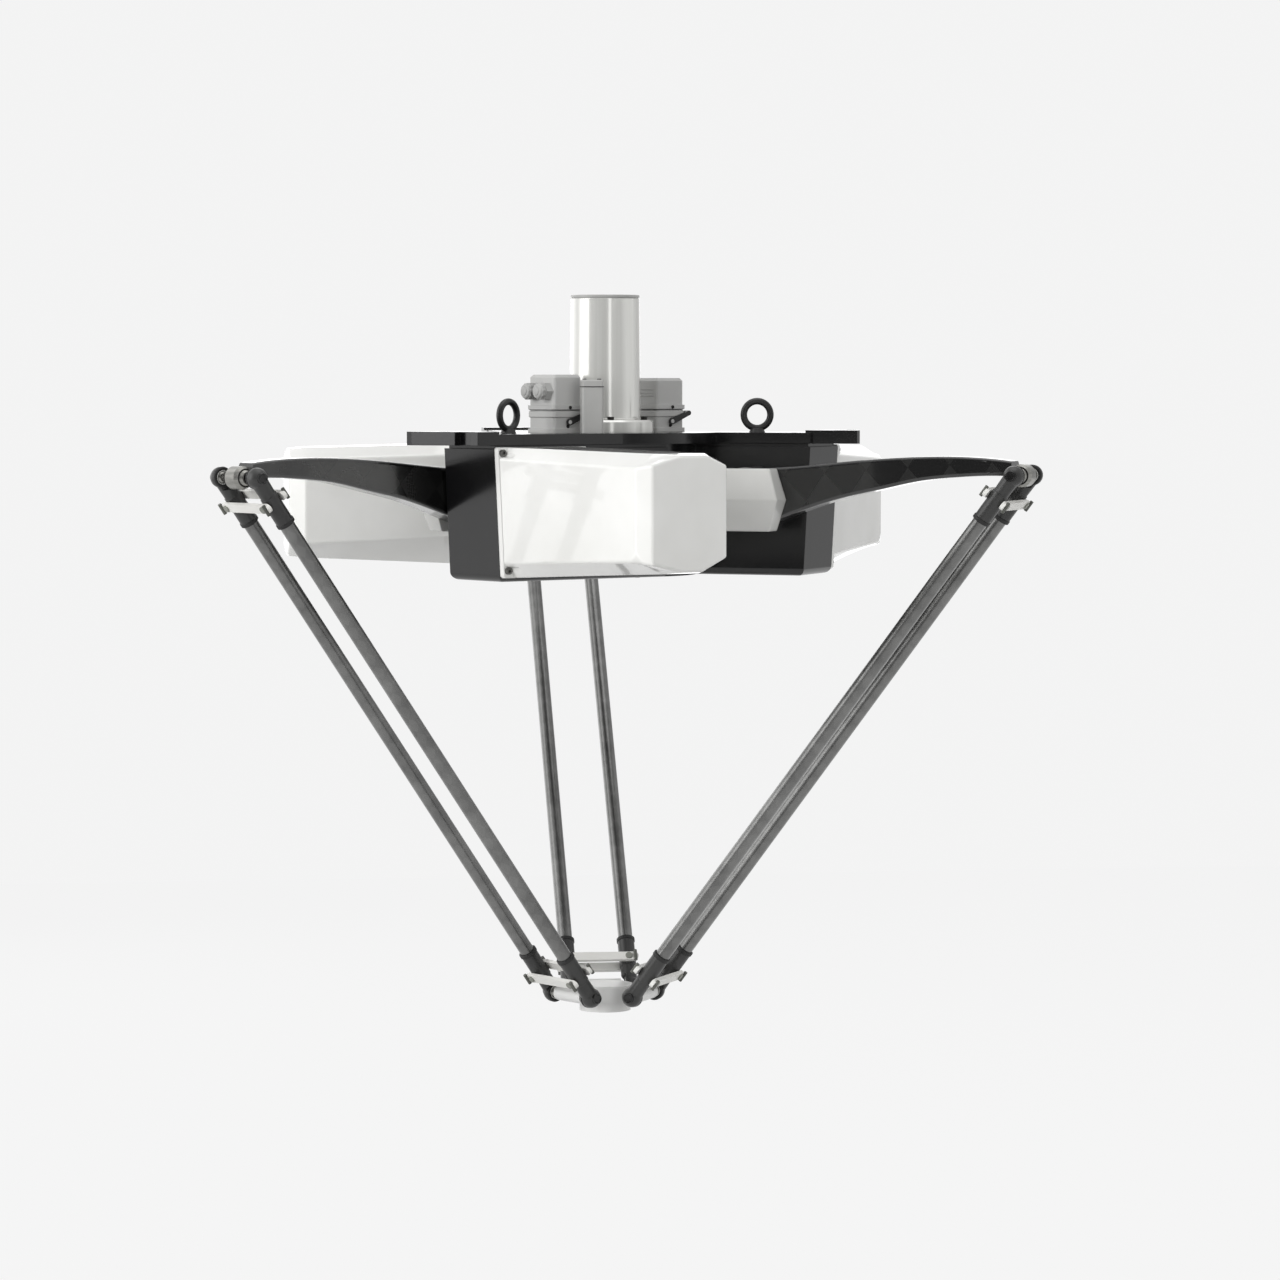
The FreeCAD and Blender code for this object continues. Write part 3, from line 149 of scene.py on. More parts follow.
# Bands round a box in millimetres: how far they stand out and at what height
CLAMP_BAND = ((0, 18.0), (1.5, 19.2), (1.5, 25.6), (0, 26.8))
HOOD_SEAL = ((0, 27.0), (1.1, 27.3), (1.1, 28.1), (0, 28.4))
GRIP_RIB = ((-0.2, -0.9), (0.7, -0.5), (0.7, 0.5), (-0.2, 0.9))
LID_SEAM = ((-0.2, -9.2), (0.6, -8.9), (0.6, -8.2), (-0.2, -7.9))

# Camera at the photograph's viewing angle
CAMERA_PLACE = Vector((-0.7485, -5.5871, 0.061))
CAMERA_AZIMUTH = 82.37
CAMERA_PITCH = -3.15
CAMERA_LENS = 129.6
CAMERA_SENSOR = 36
CAMERA_SHIFT = (0.0273, -0.0053)
CAMERA_CLIP = (0.1, 200)

# Floor and background
FLOOR_Z = -1.2
FLOOR_SIZE = 12.0
FLOOR_TONE = 0.45
FLOOR_GLOW = 0.965
FLOOR_GLOW_SHARE = 0.90
BACKGROUND = 0.90

# Fill light from the world, blended over the horizon
FILL_BELOW = 0.14
FILL_ABOVE = 0.56
HORIZON_HALF = 0.5

# What reflections see round the object: turn from the front in degrees, and strength
GLOSSY_ROOM = (
    (-180, 1.0),
    (-140, 1.8),
    (-122, 1.0),
    (-106, 1.0),
    (-92, 3.0),
    (-68, 3.0),
    (-61, 0.15),
    (3, 0.12),
    (6, 1.8),
    (10, 1.8),
    (14, 0.2),
    (50, 0.5),
    (68, 0.9),
    (95, 0.9),
    (115, 0.5),
    (140, 0.5),
    (160, 1.2),
    (180, 1.0),
)
ROOM_PEAK = 3.0
WALL_FADE = (0.55, 0.85)
WALL_OVERHEAD = 0.1
CEILING_FADE = (0.3, 0.9)
CEILING_LEVEL = 0.9

# Soft square lamps: name, place, aim, side, watts and whether reflections show it
LAMPS = (
    ("key", (-3.5, -2.1, 0.75), (0, 0, -0.1), 1.8, 105, False),
    ("top", (0.3, -0.3, 3.0), (0, 0, 0), 2.4, 22, True),
    ("front", (1.6, -4.6, 0.5), (0, 0, -0.1), 2.4, 48, False),
    ("side", (4.2, 1.4, 0.8), (0, 0, -0.1), 2.0, 50, False),
    ("rear", (-1.4, 4.4, 1.0), (0, 0, -0.1), 2.2, 40, False),
)


def unit_matrix(azimuth):
    """Turns a piece built with its arm along +X into its unit's place."""
    return Matrix.Rotation(math.radians(azimuth), 4, "Z")


# Node trees


def add_node(tree, kind, **values):
    """A node with values for its inputs and, where no input has the name, its settings."""
    node = tree.nodes.new(kind)
    for key, value in values.items():
        if key in node.inputs:
            node.inputs[key].default_value = value
        else:
            setattr(node, key, value)
    return node


def math_node(tree, operation, first, second=None):
    """A Math node; each operand is a socket or a number."""
    node = tree.nodes.new("ShaderNodeMath")
    node.operation = operation
    for index, operand in enumerate((first, second)):
        if operand is None:
            continue
        if isinstance(operand, (int, float)):
            node.inputs[index].default_value = operand
        else:
            tree.links.new(operand, node.inputs[index])
    return node.outputs[0]


def mix_shaders(tree, factor, first, second):
    """The first shader where the factor is 0 and the second where it is 1."""
    mixed = tree.nodes.new("ShaderNodeMixShader")
    for index, source in enumerate((factor, first, second)):
        tree.links.new(source, mixed.inputs[index])
    return mixed.outputs[0]


def smooth_step(tree, value, start, end, low, high):
    """Goes smoothly from low to high while the value goes from start to end."""
    span = add_node(
        tree,
        "ShaderNodeMapRange",
        interpolation_type="SMOOTHSTEP",
        **{"From Min": start, "From Max": end, "To Min": low, "To Max": high},
    )
    tree.links.new(value, span.inputs["Value"])
    return span.outputs["Result"]


def grey(level):
    return (level, level, level, 1)


def new_material(name):
    """A node material, its tree and its main shader."""
    made = bpy.data.materials.new(name)
    made.use_nodes = True
    tree = made.node_tree
    return made, tree, tree.nodes["Principled BSDF"]


def object_position(tree):
    return tree.nodes.new("ShaderNodeTexCoord").outputs["Object"]


def noise(tree, position, scale, detail=3.0):
    """Clouds from 0 to 1, with the scale in clouds to a metre."""
    texture = add_node(tree, "ShaderNodeTexNoise", Scale=scale, Detail=detail, Roughness=0.55)
    tree.links.new(position, texture.inputs["Vector"])
    return texture.outputs["Fac"]


def tone(tree, shader, factor, dark, light, low=0.3, high=0.7):
    """Base colour from dark to light while the factor goes from low to high."""
    ramp = tree.nodes.new("ShaderNodeValToRGB")
    for element, place, colour in zip(ramp.color_ramp.elements, (low, high), (dark, light)):
        element.position = place
        element.color = (*colour, 1)
    tree.links.new(factor, ramp.inputs["Fac"])
    tree.links.new(ramp.outputs["Color"], shader.inputs["Base Color"])


def rough_range(tree, shader, factor, low, high):
    """Roughness between two values by a factor."""
    span = add_node(tree, "ShaderNodeMapRange", **{"To Min": low, "To Max": high})
    tree.links.new(factor, span.inputs["Value"])
    tree.links.new(span.outputs["Result"], shader.inputs["Roughness"])


def relief(tree, shader, height, strength, depth, edge):
    """Bump from a height, over edges that a Bevel node rounds."""
    bump = add_node(tree, "ShaderNodeBump", Strength=strength, Distance=depth)
    bevel = add_node(tree, "ShaderNodeBevel", samples=4, Radius=edge)
    tree.links.new(height, bump.inputs["Height"])
    tree.links.new(bevel.outputs["Normal"], bump.inputs["Normal"])
    tree.links.new(bump.outputs["Normal"], shader.inputs["Normal"])


def gloss(shader, weight, roughness):
    """A clear coat over the finish."""
    shader.inputs["Coat Weight"].default_value = weight
    shader.inputs["Coat Roughness"].default_value = roughness


# Finishes


def painted(name, dark, light, roughness, peel, depth, edge, coat=0.0, coat_roughness=0.06):
    """Paint, powder coat or moulded plastic: clouded tone, fine peel and rounded edges."""
    cloud_scale = 9.0
    peel_strength = 0.35
    made, tree, shader = new_material(name)
    position = object_position(tree)
    clouds = noise(tree, position, cloud_scale)
    tone(tree, shader, clouds, dark, light)
    rough_range(tree, shader, clouds, *roughness)
    bumps = noise(tree, position, peel, detail=2.0)
    relief(tree, shader, bumps, strength=peel_strength, depth=depth * MM, edge=edge * MM)
    gloss(shader, weight=coat, roughness=coat_roughness)
    return made


def turned_metal(name, dark, light, roughness, stretch):
    """Machined or ground metal: fine marks stretched one way."""
    mark_scale = 60.0
    mark_strength = 0.15
    made, tree, shader = new_material(name)
    mapping = add_node(tree, "ShaderNodeMapping", Scale=stretch)
    tree.links.new(object_position(tree), mapping.inputs["Vector"])
    marks = noise(tree, mapping.outputs["Vector"], mark_scale, detail=4.0)
    tone(tree, shader, marks, dark, light)
    rough_range(tree, shader, marks, *roughness)
    relief(tree, shader, marks, strength=mark_strength, depth=0.05 * MM, edge=0.3 * MM)
    shader.inputs["Metallic"].default_value = 1.0
    return made


def brushed_coat(name, dark, light, roughness, streaks):
    """Clear-coated metal with faint upright streaks."""
    streak_stretch = (1, 1, 0.02)
    streak_strength = 0.05
    made, tree, shader = new_material(name)
    mapping = add_node(tree, "ShaderNodeMapping", Scale=streak_stretch)
    tree.links.new(object_position(tree), mapping.inputs["Vector"])
    marks = noise(tree, mapping.outputs["Vector"], streaks, detail=4.0)
    tone(tree, shader, marks, dark, light, low=0.25, high=0.75)
    rough_range(tree, shader, marks, *roughness)
    relief(tree, shader, marks, strength=streak_strength, depth=0.05 * MM, edge=0.6 * MM)
    shader.inputs["Metallic"].default_value = 0.4
    gloss(shader, weight=0.5, roughness=0.1)
    return made


def local_position(tree, origin, tilt, azimuth):
    """Object position in a frame at a point, turned by the tilt and then the azimuth."""
    mapping = add_node(tree, "ShaderNodeMapping", vector_type="TEXTURE")
    mapping.inputs["Location"].default_value = origin
    mapping.inputs["Rotation"].default_value = (0, tilt, math.radians(azimuth))
    tree.links.new(object_position(tree), mapping.inputs["Vector"])
    split = tree.nodes.new("ShaderNodeSeparateXYZ")
    tree.links.new(mapping.outputs["Vector"], split.inputs["Vector"])
    return split.outputs


def woven_checks(tree, across, along, tow):
    first = math_node(tree, "DIVIDE", across, tow)
    second = math_node(tree, "DIVIDE", along, tow)
    cells = math_node(tree, "ADD", math_node(tree, "FLOOR", first), math_node(tree, "FLOOR", second))
    return math_node(tree, "FLOORED_MODULO", cells, 2.0), first, second


def woven_height(tree, check, first, second):
    """The rounded height of the tow that lies on top."""
    blend = tree.nodes.new("ShaderNodeMix")
    factor_input = 0
    value_inputs = (2, 3)
    tree.links.new(check, blend.inputs[factor_input])
    for index, place in zip(value_inputs, (first, second)):
        turn = math_node(tree, "MULTIPLY", math_node(tree, "FRACT", place), math.pi)
        tree.links.new(math_node(tree, "SINE", turn), blend.inputs[index])
    return blend.outputs[0]


def carbon_arm(name, azimuth):
    """Wide flat tows laid at about 45 degrees, faint under a gloss coat."""
    side_slant = 0.8
    wide_tow = 52 * MM
    fine_tow = 3.2 * MM
    fine_share = 0.06
    patch_scale = 16.0
    made, tree, shader = new_material(name)
    hub = unit_matrix(azimuth) @ HUB
    x, y, z = local_position(tree, hub, ARM_TILT, azimuth)
    side = math_node(tree, "ADD", math_node(tree, "MULTIPLY", z, side_slant), y)
    across = math_node(tree, "ADD", x, side)
    along = math_node(tree, "SUBTRACT", x, side)
    wide_check = woven_checks(tree, across, along, wide_tow)[0]
    fine_weave = woven_checks(tree, across, along, fine_tow)
    patches = noise(tree, object_position(tree), patch_scale, detail=1.0)
    shade = math_node(tree, "MULTIPLY", wide_check, patches)
    shade = math_node(tree, "ADD", shade, math_node(tree, "MULTIPLY", fine_weave[0], fine_share))
    tone(tree, shader, shade, (0.0025, 0.0025, 0.0025), (0.013, 0.013, 0.0125), low=0.05, high=0.75)
    rough_range(tree, shader, shade, low=0.22, high=0.34)
    relief(tree, shader, woven_height(tree, *fine_weave), strength=0.08, depth=0.1 * MM, edge=1.2 * MM)
    gloss(shader, weight=0.8, roughness=0.08)
    return made


def carbon_rod(name, azimuth):
    """Tows wound round each rod of a pair, under a satin coat."""
    wrap_slope = 0.7
    tows_round = 4
    check_share = 0.12
    mottle_scale = 25.0
    made, tree, shader = new_material(name)
    tip = unit_matrix(azimuth) @ TIP
    x, y, z = local_position(tree, tip, ROD_TILT, azimuth)
    beside = math_node(tree, "SUBTRACT", math_node(tree, "ABSOLUTE", y), ROD_SPACING / 2)
    round_length = math_node(tree, "MULTIPLY", math_node(tree, "ARCTAN2", x, beside), ROD_RADIUS)
    length = math_node(tree, "MULTIPLY", z, wrap_slope)
    across = math_node(tree, "ADD", length, round_length)
    along = math_node(tree, "SUBTRACT", length, round_length)
    check = woven_checks(tree, across, along, 2 * math.pi * ROD_RADIUS / tows_round)[0]
    mottle = noise(tree, object_position(tree), mottle_scale)
    shade = math_node(tree, "ADD", math_node(tree, "MULTIPLY", check, check_share), mottle)
    tone(tree, shader, shade, (0.11, 0.11, 0.108), (0.21, 0.21, 0.205), low=0.3, high=0.9)
    rough_range(tree, shader, shade, low=0.29, high=0.37)
    shader.inputs["Metallic"].default_value = 0.85
    gloss(shader, weight=0.7, roughness=0.29)
    return made


# Paints: name, dark and light tone, lowest and highest roughness, scale of the peel, its depth
# and the radius of the edges in millimetres, and a coat's weight and roughness where it has one
PAINTS = (
    ("coated_casting", (0.0045, 0.0045, 0.005), (0.008, 0.008, 0.008), (0.14, 0.22), 900, 0.03, 1.2),
    ("white_cover", (0.74, 0.74, 0.715), (0.82, 0.82, 0.80), (0.16, 0.22), 700, 0.01, 3, 1.0, 0.03),
    ("cap_cover", (0.58, 0.58, 0.56), (0.65, 0.65, 0.63), (0.22, 0.30), 700, 0.02, 4, 0.2),
    ("socket_plastic", (0.020, 0.020, 0.020), (0.037, 0.037, 0.036), (0.3, 0.4), 1600, 0.06, 0.5),
    ("tie_plastic", (0.74, 0.73, 0.70), (0.82, 0.82, 0.79), (0.36, 0.46), 1200, 0.03, 0.4),
    ("eye_steel", (0.005, 0.005, 0.005), (0.014, 0.014, 0.014), (0.3, 0.44), 500, 0.08, 0.6),
    ("column_cap", (0.36, 0.36, 0.35), (0.44, 0.44, 0.43), (0.3, 0.4), 900, 0.03, 0.5),
    ("connector_shell", (0.40, 0.40, 0.393), (0.49, 0.49, 0.48), (0.4, 0.52), 1400, 0.06, 0.8),
    ("gland_plastic", (0.33, 0.33, 0.325), (0.43, 0.43, 0.42), (0.42, 0.55), 1200, 0.04, 0.5),
    ("lever_plastic", (0.008, 0.008, 0.008), (0.02, 0.02, 0.02), (0.36, 0.48), 1400, 0.05, 0.5),
    ("platform_coat", (0.70, 0.70, 0.69), (0.78, 0.78, 0.765), (0.3, 0.42), 900, 0.03, 0.8),
    ("pin_olive", (0.05, 0.052, 0.044), (0.11, 0.113, 0.098), (0.28, 0.4), 900, 0.03, 0.3),
    ("peg_olive", (0.16, 0.165, 0.14), (0.25, 0.255, 0.225), (0.3, 0.42), 900, 0.03, 0.3),
    ("black_rubber", (0.008, 0.008, 0.008), (0.018, 0.018, 0.018), (0.5, 0.65), 1500, 0.06, 0.3),
    ("plug_black", (0.004, 0.004, 0.004), (0.009, 0.009, 0.009), (0.16, 0.24), 1500, 0.03, 0.4),
    ("box_grey", (0.36, 0.36, 0.35), (0.44, 0.44, 0.43), (0.36, 0.46), 1200, 0.04, 0.6),
    ("liner_white", (0.62, 0.62, 0.60), (0.72, 0.72, 0.70), (0.3, 0.4), 900, 0.02, 0.3),
)

# Metals: name, dark and light tone, lowest and highest roughness, and how the marks are stretched
METALS = (
    ("bright_steel", (0.22, 0.22, 0.205), (0.36, 0.355, 0.335), (0.26, 0.38), (1, 1, 6)),
    ("dark_steel", (0.035, 0.034, 0.033), (0.075, 0.073, 0.07), (0.32, 0.48), (4, 4, 1)),
    ("drive_casting", (0.20, 0.20, 0.20), (0.34, 0.34, 0.335), (0.34, 0.5), (1, 1, 3)),
    ("screw_steel", (0.10, 0.10, 0.095), (0.19, 0.19, 0.18), (0.3, 0.45), (3, 3, 3)),
)

FINISHES = {row[0]: painted(*row) for row in PAINTS}
FINISHES.update({row[0]: turned_metal(*row) for row in METALS})
FINISHES["column_coat"] = brushed_coat(
    "column_coat", (0.66, 0.66, 0.63), (0.76, 0.76, 0.735), (0.14, 0.2), 160
)


def dress(name, finish):
    """Gives a CAD node one finish in all of its material slots."""
    mesh = NODES[name].data
    if not mesh.materials:
        mesh.materials.append(finish)
    for index in range(len(mesh.materials)):
        mesh.materials[index] = finish


# Outlines


def circle(radius, height, sides=40, form="round"):
    """An outline round the z axis; hex and ribbed forms keep the same number of points."""
    rib_share = 1.07
    points = []
    for index in range(sides):
        angle = 2 * math.pi * index / sides
        reach = radius
        if form == "hex":
            reach = radius * math.cos(math.pi / 6) / math.cos(angle % (math.pi / 3) - math.pi / 6)
        if form == "ribbed" and index % 4 in (0, 1):
            reach = radius * rib_share
        points.append(Vector((reach * math.cos(angle), reach * math.sin(angle), height)))
    return points


def rounded_rectangle(half_width, half_length, corner, height):
    """An outline round the z axis with its corners as arcs."""
    corner_steps = 6
    points = []
    for quarter, (sx, sy) in enumerate(((1, 1), (-1, 1), (-1, -1), (1, -1))):
        for step in range(corner_steps + 1):
            angle = math.pi / 2 * (quarter + step / corner_steps)
            x = sx * (half_width - corner) + corner * math.cos(angle)
            y = sy * (half_length - corner) + corner * math.sin(angle)
            points.append(Vector((x, y, height)))
    return points


def looped(radius, tube, sides=48):
    """The stacked outlines of a ring round the z axis, closed on itself."""
    tube_sides = 10
    angles = [2 * math.pi * step / tube_sides for step in range(tube_sides)]
    return [circle(radius + tube * math.cos(a), tube * math.sin(a), sides) for a in angles]


def turned(profile):
    """Stacked circles from a profile in millimetres."""
    return [circle(radius * MM, height * MM) for radius, height in profile]


def banded(half_width, half_length, corner, base, profile):
    """A band round a box from a profile in millimetres over a base height."""
    return [
        rounded_rectangle(half_width + growth * MM, half_length + growth * MM, corner, base + height * MM)
        for growth, height in profile
    ]


def button_head(radius, height):
    """A low screw head with a hexagon socket, standing on its z = 0 plane."""
    socket = 0.5 * radius
    return [
        circle(radius, -SUNK),
        circle(radius, 0.35 * height),
        circle(0.86 * radius, 0.8 * height),
        circle(0.62 * radius, height),
        circle(socket, height, form="hex"),
        circle(0.96 * socket, 0.25 * height, form="hex"),
    ]


def peg_cap():
    """The low chamfered disc on the end of a tie bar's peg."""
    return [
        circle(PEG_CAP_RADIUS, -SUNK),
        circle(PEG_CAP_RADIUS, PEG_CAP_HEIGHT - PEG_CAP_CHAMFER),
        circle(PEG_CAP_RADIUS - PEG_CAP_CHAMFER, PEG_CAP_HEIGHT),
    ]


def sleeve_lip():
    """The rolled lip at a sleeve's mouth, which grips the rod; a ring closed on itself."""
    foot = SLEEVE_END - 4.4 * MM
    mouth = SLEEVE_END + 1.0 * MM
    outer = SLEEVE_RADIUS + 0.9 * MM
    inner = ROD_RADIUS - 0.4 * MM
    slope = 0.8 * MM
    chamfer = 0.7 * MM
    return [
        circle(SLEEVE_RADIUS - SUNK, foot),
        circle(outer, foot + slope),
        circle(outer, mouth - chamfer),
        circle(SLEEVE_RADIUS, mouth),
        circle(inner, mouth),
        circle(inner, foot),
    ]


def rod_tube():
    """A rod that reaches a little way into its two sleeves."""
    start = SLEEVE_END - ROD_INSERTION
    length = ROD_LENGTH - 2 * start
    levels = [start + length * step / ROD_STEPS for step in range(ROD_STEPS + 1)]
    return [circle(ROD_RADIUS, level, ROD_SIDES) for level in levels]


def gland_collar():
    """The ribbed ring that clamps a gland's dome."""
    face = 8.8 * MM
    rib = 9.5 * MM
    length = 5.4 * MM
    return [
        circle(face, 0.0),
        circle(rib, 0.3 * MM, form="ribbed"),
        circle(rib, length - 0.8 * MM, form="ribbed"),
        circle(face, length),
    ]


# Small pieces: closed skins over stacked outlines, gathered into one object for each body


def aimed(place, way):
    """Puts a piece's z axis along a direction at a place."""
    return Matrix.Translation(place) @ way.to_track_quat("Z", "Y").to_matrix().to_4x4()


def skinned(name, parts):
    """One mesh from parts, each (outlines, matrix, closed on itself)."""
    sharp_angle = 32
    points = []
    faces = []
    for outlines, matrix, closed in parts:
        start = len(points)
        count = len(outlines[0])
        for outline in outlines:
            points += [matrix @ point for point in outline]
        rows = len(outlines) if closed else len(outlines) - 1
        for row in range(rows):
            low = start + row * count
            high = start + (row + 1) % len(outlines) * count
            for index in range(count):
                after = (index + 1) % count
                faces.append((low + index, low + after, high + after, high + index))
        if not closed:
            faces.append(tuple(reversed(range(start, start + count))))
            faces.append(tuple(range(len(points) - count, len(points))))
    mesh = bpy.data.meshes.new(name)
    mesh.from_pydata(points, [], faces)
    mesh.validate()
    mesh.shade_smooth()
    mesh.set_sharp_from_angle(angle=math.radians(sharp_angle))
    return mesh


def place_piece(name, body, finish, parts):
    """Makes one object from parts, and lets it ride on a body."""
    mesh = skinned(name, parts)
    mesh.materials.append(finish)
    piece = bpy.data.objects.new(name, mesh)
    bpy.context.scene.collection.objects.link(piece)
    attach(piece, body)
    return piece


def rod_place(side, distance):
    """The point on a rod's axis at a distance from its upper ball."""
    return TIP + Y_AXIS * (side * ROD_SPACING / 2) + ROD_WAY * distance


def dress_rod_pair(number, azimuth):
    """Rods, sleeve lips, socket rims, seats and end plugs, and the caps of the tie bars' pegs."""
    unit = unit_matrix(azimuth)
    body = f"rod_pair_{number}"
    rim_radius = math.sqrt(SOCKET_RADIUS ** 2 - SOCKET_COVER ** 2) - RIM_INSET
    rims = []
    plugs = []
    pegs = []
    seats = []
    tubes = []
    for side in (-1, 1):
        inward = Y_AXIS * -side
        tubes.append((rod_tube(), unit @ aimed(rod_place(side, 0), ROD_WAY), False))
        for distance, way in ((0, ROD_WAY), (ROD_LENGTH, -ROD_WAY)):
            centre = rod_place(side, distance)
            mouth = centre + inward * SOCKET_COVER
            seat = mouth + inward * SEAT_PROUD
            outer = centre - inward * (SOCKET_RADIUS - PLUG_SINK)
            rims.append((sleeve_lip(), unit @ aimed(centre, way), True))
            rims.append((looped(rim_radius, RIM_TUBE), unit @ aimed(mouth, inward), True))
            seats.append((looped(SEAT_RADIUS, SEAT_TUBE), unit @ aimed(seat, inward), True))
            plugs.append((turned(END_PLUG), unit @ aimed(outer, -inward), False))
            for face in (-1, 1):
                peg = centre + way * TIE_DISTANCE + ROD_FACE * (face * TIE_FACE)
                pegs.append((peg_cap(), unit @ aimed(peg, ROD_FACE * face), False))
    place_piece(f"socket_rims_{number}", body, FINISHES["black_rubber"], rims)
    place_piece(f"socket_plugs_{number}", body, FINISHES["plug_black"], plugs)
    place_piece(f"peg_caps_{number}", body, FINISHES["peg_olive"], pegs)
    place_piece(f"ball_seats_{number}", body, FINISHES["liner_white"], seats)
    finish = carbon_rod(f"carbon_rod_{number}", azimuth)
    rods = place_piece(f"rod_tubes_{number}", body, finish, tubes)
    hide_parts(f"rods_{number}")


def dress_elbow(number, azimuth):
    """Snap rings and shoulder rings on both halves of the elbow shaft."""
    unit = unit_matrix(azimuth)
    rings = []
    for side in (-1, 1):
        for radius, tube, distance in ELBOW_RINGS:
            matrix = unit @ aimed(TIP + Y_AXIS * (side * distance), Y_AXIS)
            rings.append((looped(radius, tube), matrix, True))
    place_piece(f"elbow_rings_{number}", f"swing_arm_{number}", FINISHES["dark_steel"], rings)


def dress_drive(number, azimuth):
    """The shaft seal in the lobe's face beside the arm's hub."""
    matrix = unit_matrix(azimuth) @ aimed(HUB + Y_AXIS * (LOBE_NEAR - SEAL_SINK), Y_AXIS)
    seal = (looped(SEAL_RADIUS, SEAL_TUBE), matrix, True)
    place_piece(f"shaft_seal_{number}", "base", FINISHES["black_rubber"], [seal])


def dress_bottom_cover():
    """Button-head screws round the bottom cover."""
    reach = BOTTOM_COVER_RADIUS - COVER_SCREW_INSET
    heads = []
    for index in range(COVER_SCREW_COUNT):
        angle = 2 * math.pi * (index + 0.5) / COVER_SCREW_COUNT
        place = Vector((reach * math.cos(angle), reach * math.sin(angle), HOUSING_BOTTOM))
        heads.append((button_head(*COVER_HEAD), aimed(place, -Z_AXIS), False))
    place_piece("cover_plate_screws", "base", FINISHES["dark_steel"], heads)


def on_plate(place, turn):
    """Puts a piece on the mounting plate at a place, turned by degrees."""
    base = Vector((place.x, place.y, PLATE_TOP))
    return Matrix.Translation(base) @ Matrix.Rotation(math.radians(turn), 4, "Z")


def grip_rib(level):
    """One of the ribs across a hood's sides, short of its ends."""
    length = CONNECTOR_HALF_LENGTH - RIB_END_INSET
    return [
        rounded_rectangle(CONNECTOR_HALF_WIDTH + growth * MM, length, RIB_CORNER, level + rise * MM)
        for growth, rise in GRIP_RIB
    ]


def dress_connectors():
    """Clamp bands, seals, grip ribs and end screws of the two heavy connectors."""
    outline = (CONNECTOR_HALF_WIDTH, CONNECTOR_HALF_LENGTH, BAND_CORNER, 0)
    bands = []
    seals = []
    heads = []
    for place in (LEFT_CONNECTOR, RIGHT_CONNECTOR):
        matrix = on_plate(place, CONNECTOR_TURN)
        bands.append((banded(*outline, CLAMP_BAND), matrix, False))
        seals.append((banded(*outline, HOOD_SEAL), matrix, False))
        for level in RIB_LEVELS:
            bands.append((grip_rib(level), matrix, False))
        for side in (-1, 1):
            peg = Vector((LOCK_PEG_SHIFT, side * (CONNECTOR_HALF_LENGTH + LOCK_PEG_PROUD), LOCK_PEG_LEVEL))
            foot = Vector((0, side * CONNECTOR_HALF_LENGTH, FOOT_SCREW_LEVEL))
            heads.append((button_head(*LOCK_HEAD), matrix @ aimed(peg, Y_AXIS * side), False))
            heads.append((button_head(*FOOT_HEAD), matrix @ aimed(foot, Y_AXIS * side), False))
    place_piece("connector_bands", "base", FINISHES["connector_shell"], bands)
    place_piece("connector_seals", "base", FINISHES["black_rubber"], seals)
    place_piece("connector_screws", "base", FINISHES["dark_steel"], heads)


def dress_glands():
    """Clamping collars over the domes of the left hood's glands, and the stops that close them."""
    matrix = on_plate(LEFT_CONNECTOR, CONNECTOR_TURN)
    collars = []
    for side in (-1, 1):
        start = Vector((GLAND_NUT_END, side * GLAND_SPREAD, LEFT_HOOD_TOP - GLAND_DROP))
        collars.append((gland_collar(), matrix @ aimed(start, X_AXIS), False))
        collars.append((turned(GLAND_STOP), matrix @ aimed(start, X_AXIS), False))
    place_piece("gland_collars", "base", FINISHES["gland_plastic"], collars)


def dress_junction_box():
    """The lid's seam and its corner screws."""
    matrix = on_plate(JUNCTION_BOX, 0)
    seam = banded(JUNCTION_HALF_WIDTH, JUNCTION_HALF_LENGTH, LID_CORNER, JUNCTION_HEIGHT, LID_SEAM)
    place_piece("junction_seam", "base", FINISHES["black_rubber"], [(seam, matrix, False)])
    x = JUNCTION_HALF_WIDTH - LID_SCREW_INSET
    y = JUNCTION_HALF_LENGTH - LID_SCREW_INSET
    heads = []
    for sx in (-1, 1):
        for sy in (-1, 1):
            place = Vector((sx * x, sy * y, JUNCTION_HEIGHT))
            heads.append((button_head(*LID_HEAD), matrix @ aimed(place, Z_AXIS), False))
    place_piece("junction_screws", "base", FINISHES["dark_steel"], heads)


def dress_column():
    """The weld bead where the column meets its flange."""
    bead = looped(COLUMN_RADIUS + BEAD_OUT, BEAD_TUBE, sides=96)
    matrix = Matrix.Translation(Vector((0, 0, COLUMN_FLANGE_TOP + BEAD_RISE)))
    place_piece("column_bead", "base", FINISHES["column_coat"], [(bead, matrix, True)])


# Stage


def floor_finish():
    """Glows like the background where it is seen or mirrored, and is clear from below."""
    made, tree, shader = new_material("floor")
    shader.inputs["Base Color"].default_value = grey(FLOOR_TONE)
    shader.inputs["Roughness"].default_value = 0.9
    shader.inputs["Specular IOR Level"].default_value = 0.0
    rays = tree.nodes.new("ShaderNodeLightPath").outputs
    glow = add_node(tree, "ShaderNodeEmission", Color=grey(FLOOR_GLOW), Strength=1.0)
    seen = math_node(tree, "MAXIMUM", rays["Is Camera Ray"], rays["Is Glossy Ray"])
    share = math_node(tree, "MULTIPLY", seen, FLOOR_GLOW_SHARE)
    lit = mix_shaders(tree, share, shader.outputs[0], glow.outputs[0])
    clear = tree.nodes.new("ShaderNodeBsdfTransparent").outputs[0]
    below = tree.nodes.new("ShaderNodeNewGeometry").outputs["Backfacing"]
    tree.links.new(mix_shaders(tree, below, lit, clear), tree.nodes["Material Output"].inputs["Surface"])
    return made


